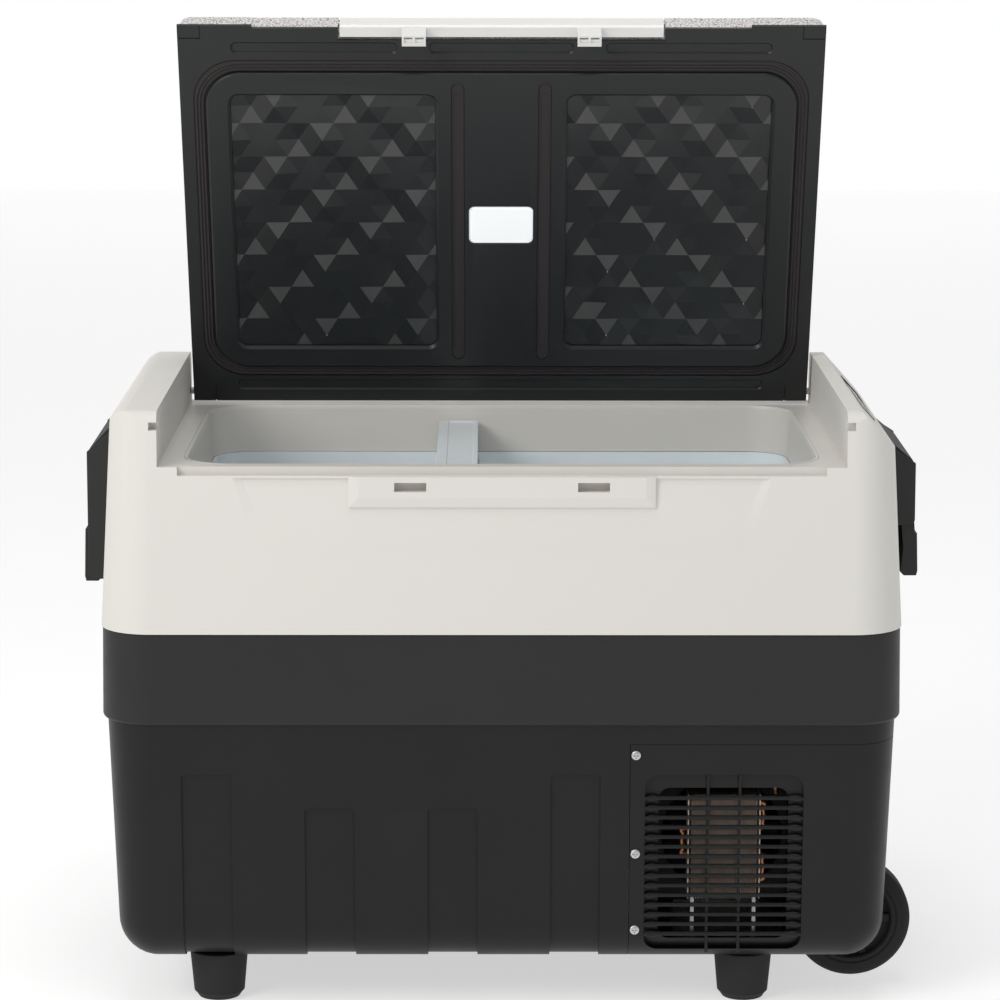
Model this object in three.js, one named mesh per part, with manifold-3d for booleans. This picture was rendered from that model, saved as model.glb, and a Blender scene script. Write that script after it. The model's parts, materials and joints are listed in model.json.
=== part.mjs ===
import * as THREE from 'three';
import { mergeVertices } from 'three/addons/utils/BufferGeometryUtils.js';
import Module from 'manifold-3d';

// Wheeled two-zone compressor cooler with its lid standing open.
// Millimetres, +Z up, the front faces -Y and the machine bay is at the +X end.

const wasm = await Module();
wasm.setup();

// ---------------------------------------------------------------- driving dimensions

const GAP = 0.3;
const WALL = 3.2;
const ROUND_STEPS = 4;
const SIDES = [-1, 1];

// Limits that lie beyond the cooler on every side.
const FAR = 400;
const ACROSS = [-FAR, FAR];

// Body: belt band, drafted tub below it and drafted shell above it.
const BELT = { halfX: 325, halfY: 186, bottom: 245, top: 320, corner: 42, wall: 4 };
const TUB = { bottom: 41, edge: 34, topInset: 3, draft: 0.037 };
const SHELL = { bottom: BELT.top + GAP, deck: 455.6, top: 500.4, draft: 0.0556 };
const SHOULDER = { innerX: 276.2, roundX: 318, round: 18, slopeX: 288, slope: 1.099, noseRound: 10 };
const REBATE = { halfX: 260, depthY: 11, floor: 448.6 };
const OPENING = { halfX: 255, halfY: 153.5, y: -8.7, corner: 38, collarBottom: 415 };
const LATCH_PAD = { halfX: 123, top: 448.4, bottom: 423.5, root: 178.4, edge: 181.3, face: 183.4, bevel: 8 };
const KEEPER = { x: 73.5, halfX: 12.8, bottom: 436.2, top: 443.8, back: -172 };
const NOTCH = { depth: 6.5, back: -164, bottom: 485, top: 491.5 };
const FRONT_PANEL = { topHalfX: 216, bottomHalfX: 195, top: 447, bottom: 385, depth: 1.8 };

// Food tub: deep zone on the left, shallow zone over the machine bay.
const LINER = { halfX: 252, halfY: 150.8, corner: 34, wall: 1.6, floor: 72, stepX: 66, stepFloor: 262 };
const DIVIDER = { x: -37, halfX: 17.2, bottom: 75, top: 443 };
const GUIDE = { halfX: 1.6, depth: 6, clearance: 0.8 };
const EVAPORATOR = { left: -200, right: 60, bottom: 120, top: 380, thick: 2, runs: 6, pitch: 40 };

// Machine bay at the right end.
const BAY = { x: 104, ceiling: 228.3, shelf: 3.4, coverX: 104.4 };
const GRILLE = { left: 116.6, right: 245.4, bottom: 52, top: 203, corner: 12, depth: 4.2, edge: 3.5 };
const GRILLE_HOLE = { left: 128, right: 233.6, bottom: 62, top: 191, corner: 9 };
const SLATS = { count: 15, pitch: 8.27, top: 183, height: 3.6, depth: 4.4 };
const GRILLE_BARS = { x: [168, 194], halfX: 1.5 };
const COVER_SCREWS = [[109, 219.5], [109, 136], [109, 71]];
const SCREW = { head: 4, crown: 3, height: 1.9, shank: 1.7, length: 11, slotHalf: 2.2, slotWide: 0.45 };
const SOCKET = { halfY: 11, bottom: 167, top: 183, wall: 4, flange: 5, depth: 20, blades: [-5, 5] };
const CONDENSER = {
  left: 152, right: 214, bottom: 94, top: 182, front: -166, rear: -140,
  fins: 11, finHalf: 0.8, header: 6, coolant: [118, 158],
};
const FAN = {
  x: 183, y: -112, z: 137, radius: 50, thick: 25, hub: 17, spider: 2.4, spigot: 2.4,
  blades: 7, bladePitch: 38,
};
const COMPRESSOR = { x: 190, y: 4, radius: 56, bottom: 66, top: 196, mountX: 52, mountY: 46, grommet: 6 };
const TRAY = { bottom: 46.5, top: 50, lip: 57 };
const DRIER = { x: 120, y: -46, bottom: 96, top: 186, radius: 11, neck: 3 };
const BOARD = {
  left: 118, right: 226, bottom: 92, top: 200, front: 150, rear: 152,
  // Left, right, how far it stands off the board, bottom, top.
  blocks: [
    [126, 152, 12, 100, 140], [160, 178, 20, 104, 130], [188, 216, 10, 100, 128], [176, 218, 16, 150, 188],
  ],
  cans: [[134, 170], [156, 170]],
};
const DISCHARGE_ROUTE = [
  [236, -30, 178], [246, -50, 186], [250, -90, 192], [240, -130, 194], [226, -153, 190], [225, -153, 181],
];
const SUCTION_ROUTE = [[150, 66, 176], [136, 84, 190], [124, 92, 204], [118, 96, 216], [116, 97, 226]];

// Ground gear.
const FOOT = { top: 40.7, radiusTop: 24, radiusLow: 21, radiusSole: 18, y: 128, left: -235, right: 201.5 };
const WHEEL = { x: 294, z: 59, radius: 49.5, nearY: 80, farY: 108, axle: 4 };
const WELL = { wall: 2.5, endGap: 4, besideWheel: 3, overWheel: 4 };

// Carry handles on both ends.
const HANDLE = { halfY: 84, armY: 76, reach: 344, pivotX: 333, pin: 4 };

// Lid, described closed and then opened about its hinge pins.
const LID = {
  halfX: 272.6, front: -193.5, rear: 169.5, bottom: 457, corner: 9, wall: 2.6, step: 2.4, stepHalfX: 210,
};
const LID_OPEN_DEGREES = 68.6;
const HINGE = { y: 164.5, z: 466, pin: 3, bore: 3.3, head: 6, pinInnerX: 258, pinOuterX: 284 };
const PLUG = { halfX: 251, halfY: 142, y: -9, bottom: 453.5, corner: 30 };
const GASKET = { halfX: 261, halfY: 152.6, corner: 37, bottom: 456.2, top: 458.3 };
const FACET = { x: 143, halfX: 87, front: -130, rear: 113, corner: 8 };
const STRIP = { x: 37, halfX: 5.3, front: -142, rear: 125, corner: 5.28 };
const LAMP = { x: 0, halfX: 27.7, front: -25.3, rear: 10.3, corner: 5 };
const LATCH = {
  halfX: 136, back: -183.2, bottom: 457.3, top: 476, hookTip: 440.5,
  pivotY: -188.2, pivotZ: 472.5, pin: 2, pinHalfX: 144,
};

// Control panel on the sloping right shoulder.
const PANEL = { y: -5, halfY: 98, halfWidth: 16, thick: 3.4, corner: 4.7, fromTop: 20.5 };
const DISPLAY = { y: 42, halfY: 34, halfWidth: 10 };
const BUTTONS = {
  names: ['power', 'set', 'up', 'down'], firstY: -14, pitch: 22, halfY: 8, halfWidth: 8, stand: 0.8,
};

// ---------------------------------------------------------------- finishes

const finish = (color, roughness, metalness = 0) =>
  new THREE.MeshStandardMaterial({ color, roughness, metalness });

const FINISH = {
  whiteShell: finish(0xdddad5, 0.45),
  collar: finish(0xbdb9b1, 0.5),
  liner: finish(0xcfd4d6, 0.4),
  divider: finish(0xbfc5c8, 0.5),
  foam: finish(0xe6dfbe, 0.95),
  belt: finish(0x3a3a3b, 0.7),
  tub: finish(0x262728, 0.45),
  blackPlastic: finish(0x1f1f20, 0.5),
  lidBlack: finish(0x222324, 0.35),
  lidCover: finish(0xb9b6b2, 0.6, 0.3),
  latch: finish(0xf4f3f0, 0.35),
  lens: finish(0xf4f8fb, 0.2),
  seal: finish(0x2e2a27, 0.9),
  rubber: finish(0x171717, 0.85),
  steel: finish(0xb8babc, 0.35, 1),
  darkSteel: finish(0x17181a, 0.5, 0.6),
  copper: finish(0xb87348, 0.35, 1),
  aluminium: finish(0x9d958c, 0.4, 1),
  board: finish(0x1f5a36, 0.6),
  display: finish(0x0b0c0e, 0.1),
  button: finish(0xc9c7c2, 0.5),
};

// ---------------------------------------------------------------- shape tools

const X = new THREE.Vector3(1, 0, 0);
const Y = new THREE.Vector3(0, 1, 0);
const Z = new THREE.Vector3(0, 0, 1);

/** A closed solid from a geometry whose shared corners are merged. */
function solid(geometry) {
  const bare = geometry.clone();
  bare.deleteAttribute('normal');
  bare.deleteAttribute('uv');
  const merged = mergeVertices(bare, 1e-4);
  return new wasm.Manifold(new wasm.Mesh({
    numProp: 3,
    vertProperties: new Float32Array(merged.attributes.position.array),
    triVerts: new Uint32Array(merged.index.array),
  }));
}

const join = (first, ...others) => others.reduce((whole, part) => whole.add(part), first);
const cut = (first, ...others) => others.reduce((whole, part) => whole.subtract(part), first);
const common = (first, ...others) => others.reduce((whole, part) => whole.intersect(part), first);

/** Rounded rectangle, counter-clockwise, as a list of points. */
function roundedOutline(halfX, halfY, radius, centreX = 0, centreY = 0, steps = ROUND_STEPS) {
  const points = [];
  [[1, 1], [-1, 1], [-1, -1], [1, -1]].forEach(([sideX, sideY], corner) => {
    for (let step = 0; step <= steps; step++) {
      const angle = (corner + step / steps) * Math.PI / 2;
      points.push(new THREE.Vector2(
        centreX + sideX * (halfX - radius) + radius * Math.cos(angle),
        centreY + sideY * (halfY - radius) + radius * Math.sin(angle),
      ));
    }
  });
  return points;
}

/** Closed geometry through a stack of convex outlines that have equal numbers of points. */
function loftGeometry(rings) {
  const count = rings[0].outline.length;
  const positions = rings.flatMap(({ z, outline }) => outline.flatMap((p) => [p.x, p.y, z]));
  const index = [];
  for (let ring = 0; ring < rings.length - 1; ring++) {
    for (let side = 0; side < count; side++) {
      const a = ring * count + side;
      const b = ring * count + (side + 1) % count;
      index.push(a, b, b + count, a, b + count, a + count);
    }
  }
  const last = (rings.length - 1) * count;
  for (let side = 1; side < count - 1; side++) {
    index.push(0, side + 1, side, last, last + side, last + side + 1);
  }
  const geometry = new THREE.BufferGeometry();
  geometry.setAttribute('position', new THREE.Float32BufferAttribute(positions, 3));
  geometry.setIndex(index);
  return geometry;
}

const loft = (rings) => solid(loftGeometry(rings));
const prism = (outline, low, high) => loft([{ z: low, outline }, { z: high, outline }]);

/** Upright rounded block between two heights. */
const roundedBlock = (halfX, halfY, radius, x, y, low, high, steps = ROUND_STEPS) =>
  prism(roundedOutline(halfX, halfY, radius, x, y, steps), low, high);

/** Box between two corners, as a geometry. */
function boxGeometry(x0, x1, y0, y1, z0, z1) {
  return new THREE.BoxGeometry(x1 - x0, y1 - y0, z1 - z0)
    .translate((x0 + x1) / 2, (y0 + y1) / 2, (z0 + z1) / 2);
}

const box = (...limits) => solid(boxGeometry(...limits));

/** Round bar or cone from one point to another. */
function rod(radius, from, to, endRadius = radius, segments = 20) {
  const start = new THREE.Vector3(...from);
  const end = new THREE.Vector3(...to);
  const along = end.clone().sub(start);
  const turn = new THREE.Quaternion().setFromUnitVectors(Y, along.clone().normalize());
  const geometry = new THREE.CylinderGeometry(endRadius, radius, along.length(), segments)
    .applyQuaternion(turn)
    .translate(...start.add(end).multiplyScalar(0.5).toArray());
  return solid(geometry);
}

/** Outline of [x, z] points, extruded from y0 to y1. */
function alongY(shape, y0, y1, curveSegments = 8) {
  const settings = { depth: y1 - y0, bevelEnabled: false, curveSegments };
  return solid(new THREE.ExtrudeGeometry(shape, settings)
    .applyMatrix4(new THREE.Matrix4().makeBasis(X, Z, Y.clone().negate()))
    .translate(0, y1, 0));
}

/** Outline of [y, z] points, extruded from x0 to x1. */
function alongX(shape, x0, x1, curveSegments = 8) {
  const settings = { depth: x1 - x0, bevelEnabled: false, curveSegments };
  return solid(new THREE.ExtrudeGeometry(shape, settings)
    .applyMatrix4(new THREE.Matrix4().makeBasis(Y, Z, X))
    .translate(x0, 0, 0));
}

/** Lower and upper limits of the slab between two distances on one side of the middle. */
const slab = (side, near, far) => [side * near, side * far].sort((a, b) => a - b);

const polygon = (points) => new THREE.Shape(points.map(([u, v]) => new THREE.Vector2(u, v)));

/** Body of revolution about an upright axis, from [radius, z] points that close on the axis. */
function turned(profile, x, y, segments = 28) {
  const points = profile.map(([radius, z]) => new THREE.Vector2(radius, z));
  return solid(new THREE.LatheGeometry(points, segments).rotateX(Math.PI / 2).translate(x, y, 0));
}

/** Tube along a smooth route. */
function tube(route, radius, steps, sides = 8) {
  const curve = new THREE.CatmullRomCurve3(route.map((point) => new THREE.Vector3(...point)));
  const section = new THREE.Shape(
    Array.from({ length: sides }, (_, side) => {
      const angle = side / sides * 2 * Math.PI;
      return new THREE.Vector2(radius * Math.cos(angle), radius * Math.sin(angle));
    }),
  );
  return solid(new THREE.ExtrudeGeometry(section, { steps, bevelEnabled: false, extrudePath: curve }));
}

// ---------------------------------------------------------------- assembly tools

const cooler = new THREE.Group();
const lidGroup = new THREE.Group();
lidGroup.position.set(0, HINGE.y, HINGE.z);
lidGroup.rotation.x = -THREE.MathUtils.degToRad(LID_OPEN_DEGREES);
cooler.add(lidGroup);

/** Adds a solid to the cooler as a named mesh. */
function addPiece(name, shape, material) {
  const { vertProperties, triVerts } = shape.getMesh();
  const geometry = new THREE.BufferGeometry();
  geometry.setAttribute('position', new THREE.Float32BufferAttribute(vertProperties, 3));
  geometry.setIndex(Array.from(triVerts));
  geometry.computeVertexNormals();
  const mesh = new THREE.Mesh(geometry, material);
  mesh.name = name;
  cooler.add(mesh);
  return mesh;
}

/** Adds a piece that is described on the closed lid, so that it opens with the lid. */
function addLidPiece(name, shape, material) {
  const mesh = addPiece(name, shape, material);
  mesh.geometry.translate(0, -HINGE.y, -HINGE.z);
  lidGroup.add(mesh);
}

// ---------------------------------------------------------------- body forms

const tubInset = (z) => TUB.topInset + (BELT.bottom - z) * TUB.draft;
const tubFaceY = (z) => BELT.halfY - tubInset(z);
const shellInset = (z) => -1 + (z - BELT.top) * SHELL.draft;

/** Plan outline of the body, moved in from the belt band. */
function bodyRing(z, inset) {
  const corner = Math.max(BELT.corner - inset, 8);
  return { z, outline: roundedOutline(BELT.halfX - inset, BELT.halfY - inset, corner) };
}

/** Drafted lower form with a rounded bottom edge, moved inwards by offset. */
function tubForm(offset, top = BELT.bottom - GAP) {
  const radius = TUB.edge - offset;
  const centre = TUB.bottom + TUB.edge;
  const rings = [];
  for (let step = ROUND_STEPS; step >= 0; step--) {
    const angle = step / ROUND_STEPS * Math.PI / 2;
    const inset = tubInset(centre) + offset + radius * (1 - Math.cos(angle));
    rings.push(bodyRing(centre - radius * Math.sin(angle), inset));
  }
  rings.push(bodyRing(top, tubInset(top) + offset));
  return loft(rings);
}

/** Drafted upper form, moved inwards by offset. */
function shellForm(offset, bottom, top) {
  return loft([bottom, top].map((z) => bodyRing(z, shellInset(z) + offset)));
}

/** The deck and shoulders as seen from the front, moved inwards by offset. */
function shoulderProfile(offset) {
  const { innerX, roundX, round, slopeX, slope } = SHOULDER;
  const top = SHELL.top - offset;
  const deck = SHELL.deck - offset;
  const below = BELT.bottom;
  const slopeStart = slopeX - 0.442 * offset;
  const slopeEnd = roundX + 4;
  const slopeFoot = top - (slopeEnd - slopeStart) * slope;
  const shape = new THREE.Shape();
  shape.moveTo(-FAR, below);
  shape.lineTo(FAR, below);
  shape.lineTo(FAR, slopeFoot);
  shape.lineTo(slopeEnd, slopeFoot);
  shape.lineTo(slopeStart, top);
  shape.lineTo(innerX + offset, top);
  shape.lineTo(innerX + offset, deck);
  shape.lineTo(-innerX - offset, deck);
  shape.lineTo(-innerX - offset, top);
  shape.lineTo(-roundX + round, top);
  shape.absarc(-roundX + round, SHELL.top - round, round - offset, Math.PI / 2, Math.PI, false);
  shape.lineTo(-FAR, SHELL.top - round);
  return shape;
}

/** Side view of the shell, whose top front and rear edges are rounded. */
function noseProfile(offset) {
  const radius = SHOULDER.noseRound - offset;
  const centreZ = SHELL.top - SHOULDER.noseRound;
  const centreY = BELT.halfY - shellInset(centreZ) - SHOULDER.noseRound;
  const shape = new THREE.Shape();
  shape.moveTo(-FAR, BELT.bottom);
  shape.lineTo(FAR, BELT.bottom);
  shape.lineTo(FAR, centreZ);
  shape.absarc(centreY, centreZ, radius, 0, Math.PI / 2, false);
  shape.absarc(-centreY, centreZ, radius, Math.PI / 2, Math.PI, false);
  shape.lineTo(-FAR, centreZ);
  return shape;
}

const shellSolid = (offset, bottom = SHELL.bottom) => common(
  shellForm(offset, bottom, SHELL.top + 5),
  alongY(shoulderProfile(offset), ...ACROSS),
  alongX(noseProfile(offset), ...ACROSS, 5),
);

// ---------------------------------------------------------------- tub, belt and shell

/** Shallow upright channels that run down the front and rear and under the bottom edge. */
const CHANNELS = [[-240, 203], [-140, 174.5], [-40, 174.5], [60, 203]];
const CHANNEL = { halfX: 20.3, depth: 2 };

/** Screw bosses on the bulkhead, behind the edge of the bay cover. */
const BOSS = { right: 3.7, halfZ: 6, length: 12, bore: 2, boreDepth: 20 };

function makeTub() {
  const outer = tubForm(0);
  const cavity = tubForm(WALL, BELT.bottom + 10);
  const channelFloor = tubForm(CHANNEL.depth, BELT.bottom + 10);
  const channels = CHANNELS.map(([x, top]) => cut(
    box(x - CHANNEL.halfX, x + CHANNEL.halfX, ...ACROSS, 0, top),
    channelFloor,
  ));
  const bulkhead = common(outer, box(BAY.x - WALL, BAY.x, ...ACROSS, 0, BAY.ceiling + 1));
  const shelf = common(
    outer,
    box(BAY.x - WALL, FAR, ...ACROSS, BAY.ceiling + GAP, BAY.ceiling + BAY.shelf),
  );
  const machineBay = box(BAY.x, FAR, ...ACROSS, 0, BAY.ceiling + GAP);
  const lined = cut(outer, cavity, ...channels);
  let tub = join(cut(lined, machineBay), cut(bulkhead, ...channels), shelf);
  for (const side of SIDES) {
    for (const [x, z] of COVER_SCREWS) {
      const faceY = tubFaceY(z);
      const top = Math.min(z + BOSS.halfZ, BAY.ceiling + 1);
      const block = box(
        BAY.x - 1, x + BOSS.right, ...slab(side, faceY - BOSS.length, faceY), z - BOSS.halfZ, top,
      );
      const bore = rod(BOSS.bore, [x, side * (faceY - BOSS.boreDepth), z], [x, side * FAR, z], BOSS.bore, 10);
      tub = cut(join(tub, common(block, tubForm(WALL + GAP))), bore);
    }
  }
  return tub;
}

function makeBelt() {
  const { bottom, top, wall } = BELT;
  const outer = loft([
    bodyRing(bottom, 0.4), bodyRing(bottom + 2, -1), bodyRing(top - 1, 0), bodyRing(top, 0.6),
  ]);
  const inner = loft([bodyRing(bottom - 1, wall), bodyRing(top + 1, wall)]);
  return cut(outer, inner);
}

/** Frame on the sloping shoulder: local X runs down the slope and local Z out of it. */
const slopeLength = Math.hypot(1, SHOULDER.slope);
const downSlope = new THREE.Vector3(1 / slopeLength, 0, -SHOULDER.slope / slopeLength);
const outOfSlope = new THREE.Vector3().crossVectors(downSlope, Y);
const slopeMatrix = new THREE.Matrix4()
  .makeBasis(downSlope, Y, outOfSlope)
  .setPosition(new THREE.Vector3(SHOULDER.slopeX, 0, SHELL.top).addScaledVector(downSlope, PANEL.fromTop));

/** Rounded block on the sloping shoulder, between two heights out of the slope. */
const onSlope = (halfX, halfY, radius, y, low, high) => solid(loftGeometry([low, high].map((z) => ({
  z,
  outline: roundedOutline(halfX, halfY, radius, 0, y, 2),
}))).applyMatrix4(slopeMatrix));

/** Raised pad on the front face, below the rebate, that the latch bar closes against. */
function makeLatchPad() {
  const { halfX, top, bottom, face, bevel, root, edge } = LATCH_PAD;
  const ring = (depth, shrink) => ({
    z: depth,
    outline: [
      [-halfX + shrink, bottom + shrink], [halfX - shrink, bottom + shrink],
      [halfX - shrink, top], [-halfX + shrink, top],
    ].map(([x, z]) => new THREE.Vector2(x, z)),
  });
  return solid(loftGeometry([ring(root, 0), ring(edge, 0), ring(face, bevel)])
    .applyMatrix4(new THREE.Matrix4().makeBasis(X, Z, Y.clone().negate())));
}

/** Faint trapezoid pressed into the front face. */
function makeFacePocket() {
  const { topHalfX, bottomHalfX, top, bottom, depth } = FRONT_PANEL;
  const outline = alongY(polygon([
    [-bottomHalfX, bottom], [bottomHalfX, bottom], [topHalfX, top], [-topHalfX, top],
  ]), -FAR, 0);
  return cut(outline, shellForm(depth, SHELL.bottom - 10, SHELL.top + 5));
}

function makeShell() {
  const innerBottom = SHELL.bottom - 10;
  const rebateStart = BELT.halfY - REBATE.depthY;
  const rebates = SIDES.map((side) => box(
    -REBATE.halfX, REBATE.halfX, ...slab(side, rebateStart, FAR), REBATE.floor, SHELL.deck + 5,
  ));
  const rebateBacks = SIDES.map((side) => box(
    -REBATE.halfX - WALL, REBATE.halfX + WALL, ...slab(side, rebateStart - WALL, FAR),
    REBATE.floor - WALL, SHELL.deck + 5,
  ));
  const keepers = SIDES.map((side) => box(
    side * KEEPER.x - KEEPER.halfX, side * KEEPER.x + KEEPER.halfX, -FAR, KEEPER.back,
    KEEPER.bottom, KEEPER.top,
  ));
  const keeperBacks = SIDES.map((side) => box(
    side * KEEPER.x - KEEPER.halfX - 3, side * KEEPER.x + KEEPER.halfX + 3, -FAR, KEEPER.back + 3,
    KEEPER.bottom - 3, SHELL.deck,
  ));
  const rim = WALL + GAP;
  const opening = roundedBlock(
    OPENING.halfX + rim, OPENING.halfY + rim, OPENING.corner + rim, 0, OPENING.y,
    SHELL.deck - 20, SHELL.deck + 5,
  );
  const panelHole = onSlope(PANEL.halfWidth + GAP, PANEL.halfY + GAP, PANEL.corner + GAP, PANEL.y, -12, 5);
  const pinHoles = SIDES.map((side) => rod(
    HINGE.bore,
    [side * (SHOULDER.innerX - 2), HINGE.y, HINGE.z],
    [side * (SHOULDER.innerX + 5), HINGE.y, HINGE.z],
  ));
  const notches = SIDES.map((side) => box(
    ...slab(side, SHOULDER.innerX - 1, SHOULDER.innerX + NOTCH.depth), -FAR, NOTCH.back,
    NOTCH.bottom, NOTCH.top,
  ));
  const notchBacks = SIDES.map((side) => common(
    box(
      ...slab(side, SHOULDER.innerX + 0.5, SHOULDER.innerX + NOTCH.depth + 2.5), -FAR, NOTCH.back + 3,
      NOTCH.bottom - 3, NOTCH.top + 5.5,
    ),
    shellSolid(0.4, SHELL.deck - 50),
  ));
  const cavity = cut(shellSolid(WALL, innerBottom), ...rebateBacks, ...keeperBacks);
  const body = cut(shellSolid(0), ...rebates, makeFacePocket(), cavity);
  return cut(
    join(body, makeLatchPad(), ...notchBacks),
    ...keepers, opening, panelHole, ...pinHoles, ...notches,
  );
}

function makeCollar() {
  const { halfX, halfY, y, corner, collarBottom } = OPENING;
  const ring = (z, grow, radius) => ({
    z,
    outline: roundedOutline(halfX + grow, halfY + grow, radius, 0, y),
  });
  const outer = loft([ring(collarBottom, 0.8, corner), ring(SHELL.deck + GAP, WALL, corner + WALL)]);
  const inner = loft([ring(collarBottom - 1, -2.6, corner - 2), ring(SHELL.deck + 1, 0, corner)]);
  return cut(outer, inner);
}

/** Solid filling the food tub, grown by offset. */
function linerForm(offset, top) {
  const left = -LINER.halfX - offset;
  const stepRight = LINER.stepX + offset;
  const halfY = LINER.halfY + offset;
  const corner = LINER.corner + offset;
  const upper = roundedBlock(
    LINER.halfX + offset, halfY, corner, 0, OPENING.y, LINER.stepFloor - offset, top,
  );
  const deep = roundedBlock(
    (stepRight - left) / 2, halfY, corner, (stepRight + left) / 2, OPENING.y,
    LINER.floor - offset, LINER.stepFloor + 40,
  );
  return join(upper, deep);
}

function makeLiner() {
  const top = OPENING.collarBottom - GAP;
  const wallY = LINER.halfY - LINER.wall / 2;
  const guides = SIDES.flatMap((sideY) => SIDES.map((sideX) => {
    const x = DIVIDER.x + sideX * (DIVIDER.halfX + GUIDE.clearance + GUIDE.halfX);
    const [y0, y1] = slab(sideY, wallY - GUIDE.depth, wallY);
    return box(
      x - GUIDE.halfX, x + GUIDE.halfX, OPENING.y + y0, OPENING.y + y1, LINER.floor + 0.5, top - 6,
    );
  }));
  return join(cut(linerForm(0, top), linerForm(-LINER.wall, top + 10)), ...guides);
}

function makeFoam() {
  const skin = WALL + 0.8;
  const lower = tubForm(skin, BELT.bottom);
  const middle = loft([bodyRing(BELT.bottom - 2, 9), bodyRing(BELT.top + 2, 9)]);
  const upper = shellForm(skin, BELT.top, REBATE.floor - WALL - 1);
  const bayRoom = box(BAY.x - WALL - GAP, FAR, ...ACROSS, 0, BAY.ceiling + BAY.shelf + GAP);
  const keeperRoom = box(
    -KEEPER.x - 20, KEEPER.x + 20, -FAR, KEEPER.back + 4, KEEPER.bottom - 6, SHELL.deck,
  );
  const collarRoom = roundedBlock(
    OPENING.halfX + WALL + 1, OPENING.halfY + WALL + 1, OPENING.corner + WALL, 0, OPENING.y,
    OPENING.collarBottom - 1, SHELL.deck,
  );
  const { left, right, bottom, top } = EVAPORATOR;
  const evaporatorRoom = box(left - 2, right + 2, evaporatorY - 4.7, evaporatorY + 7.3, bottom - 2, top + 2);
  return cut(
    join(lower, middle, upper), bayRoom, keeperRoom, collarRoom, evaporatorRoom,
    linerForm(GAP, OPENING.collarBottom + 1),
  );
}

/** Outer face of the liner's rear wall, which the evaporator plate lies against. */
const evaporatorY = OPENING.y + LINER.halfY + 2 * GAP;

/** Flat evaporator plate with its pressed tube runs. */
function makeEvaporator() {
  const { left, right, bottom, top, thick, runs, pitch } = EVAPORATOR;
  const y = evaporatorY;
  const tubes = Array.from({ length: runs }, (_, run) => {
    const z = bottom + 30 + run * pitch;
    return rod(3, [left + 5, y + thick, z], [right - 5, y + thick, z], 3, 8);
  });
  const plate = box(left, right, y, y + thick, bottom, top);
  return common(join(plate, ...tubes), box(left - 1, right + 1, y, y + 8, bottom - 1, top + 1));
}

// ---------------------------------------------------------------- machine bay cover

/** Rounded rectangle as a shape between limits. */
function roundedShape({ left, right, bottom, top, corner }) {
  return new THREE.Shape(roundedOutline(
    (right - left) / 2, (top - bottom) / 2, corner, (left + right) / 2, (bottom + top) / 2,
  ));
}

/** One grille, recessed into the front (-1) or rear (+1) of the bay cover. */
function grilleParts(side) {
  const { left, right, bottom, top, depth, edge } = GRILLE;
  const faceY = (z) => tubFaceY(Math.max(z, TUB.bottom + TUB.edge));
  const thick = common(
    box(left - edge, right + edge, ...slab(side, 150, FAR), bottom - 8, top + 5),
    cut(tubForm(0), tubForm(depth + WALL)),
  );
  const recess = common(
    alongY(roundedShape(GRILLE), ...slab(side, 120, FAR)),
    cut(box(0, FAR, ...ACROSS, 0, BELT.top), tubForm(depth)),
  );
  const hole = alongY(roundedShape(GRILLE_HOLE), ...slab(side, 120, FAR));
  const slats = Array.from({ length: SLATS.count }, (_, row) => {
    const z = SLATS.top - row * SLATS.pitch;
    const y = faceY(z) - 0.6;
    const section = polygon([
      [side * (y - SLATS.depth), z - SLATS.height / 2], [side * y, z - SLATS.height / 4],
      [side * y, z + SLATS.height / 4], [side * (y - SLATS.depth), z + SLATS.height / 2],
    ]);
    return alongX(section, left + 2, right - 2);
  });
  const bars = GRILLE_BARS.x.map((x) => {
    const section = polygon([
      [side * (faceY(bottom) - 1.2), bottom - 1], [side * (faceY(top) - 0.4), top + 1],
      [side * (faceY(top) - 4), top + 1], [side * (faceY(bottom) - 7), bottom - 1],
    ]);
    return alongX(section, x - GRILLE_BARS.halfX, x + GRILLE_BARS.halfX);
  });
  return { thick, recess, hole, ribs: join(...slats, ...bars) };
}

/** Walls and hollow of one wheel well, with the hole for its axle. */
function wheelWell(side) {
  const { x, z, radius, nearY, farY, axle } = WHEEL;
  const top = z + radius + WELL.overWheel;
  const left = x - radius - WELL.besideWheel;
  const walls = common(
    box(
      left - WELL.wall, FAR, ...slab(side, nearY - WELL.wall - WELL.endGap, farY + WELL.wall + WELL.endGap),
      0, top + WELL.wall,
    ),
    tubForm(0),
  );
  const hollow = box(left, FAR, ...slab(side, nearY - WELL.endGap, farY + WELL.endGap), 0, top);
  const hole = rod(axle + GAP, [x, side * (nearY - 12), z], [x, side * (farY + 12), z]);
  return { walls, voids: [hollow, hole] };
}

function makeBayCover() {
  const outer = common(tubForm(0), box(BAY.coverX, FAR, ...ACROSS, 0, BAY.ceiling));
  const inner = common(tubForm(WALL), box(BAY.coverX - 5, FAR, ...ACROSS, 0, BAY.ceiling + 5));
  const grilles = SIDES.map(grilleParts);
  let cover = join(cut(outer, inner), ...grilles.map(({ thick }) => thick));
  cover = cut(cover, ...grilles.flatMap(({ recess, hole }) => [recess, hole]));
  cover = join(cover, ...grilles.map(({ ribs }) => ribs));
  for (const { walls, voids } of SIDES.map(wheelWell)) {
    cover = cut(join(cover, walls), ...voids);
  }
  const screwHoles = SIDES.flatMap((side) => COVER_SCREWS.map(([x, z]) => rod(
    2.1, [x, side * (tubFaceY(z) - 10), z], [x, side * (tubFaceY(z) + 5), z], 2.1, 10,
  )));
  const room = SOCKET.wall + GAP;
  const socketHole = box(
    300, FAR, -SOCKET.halfY - room, SOCKET.halfY + room, SOCKET.bottom - room, SOCKET.top + room,
  );
  return cut(cover, ...screwHoles, socketHole);
}

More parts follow.
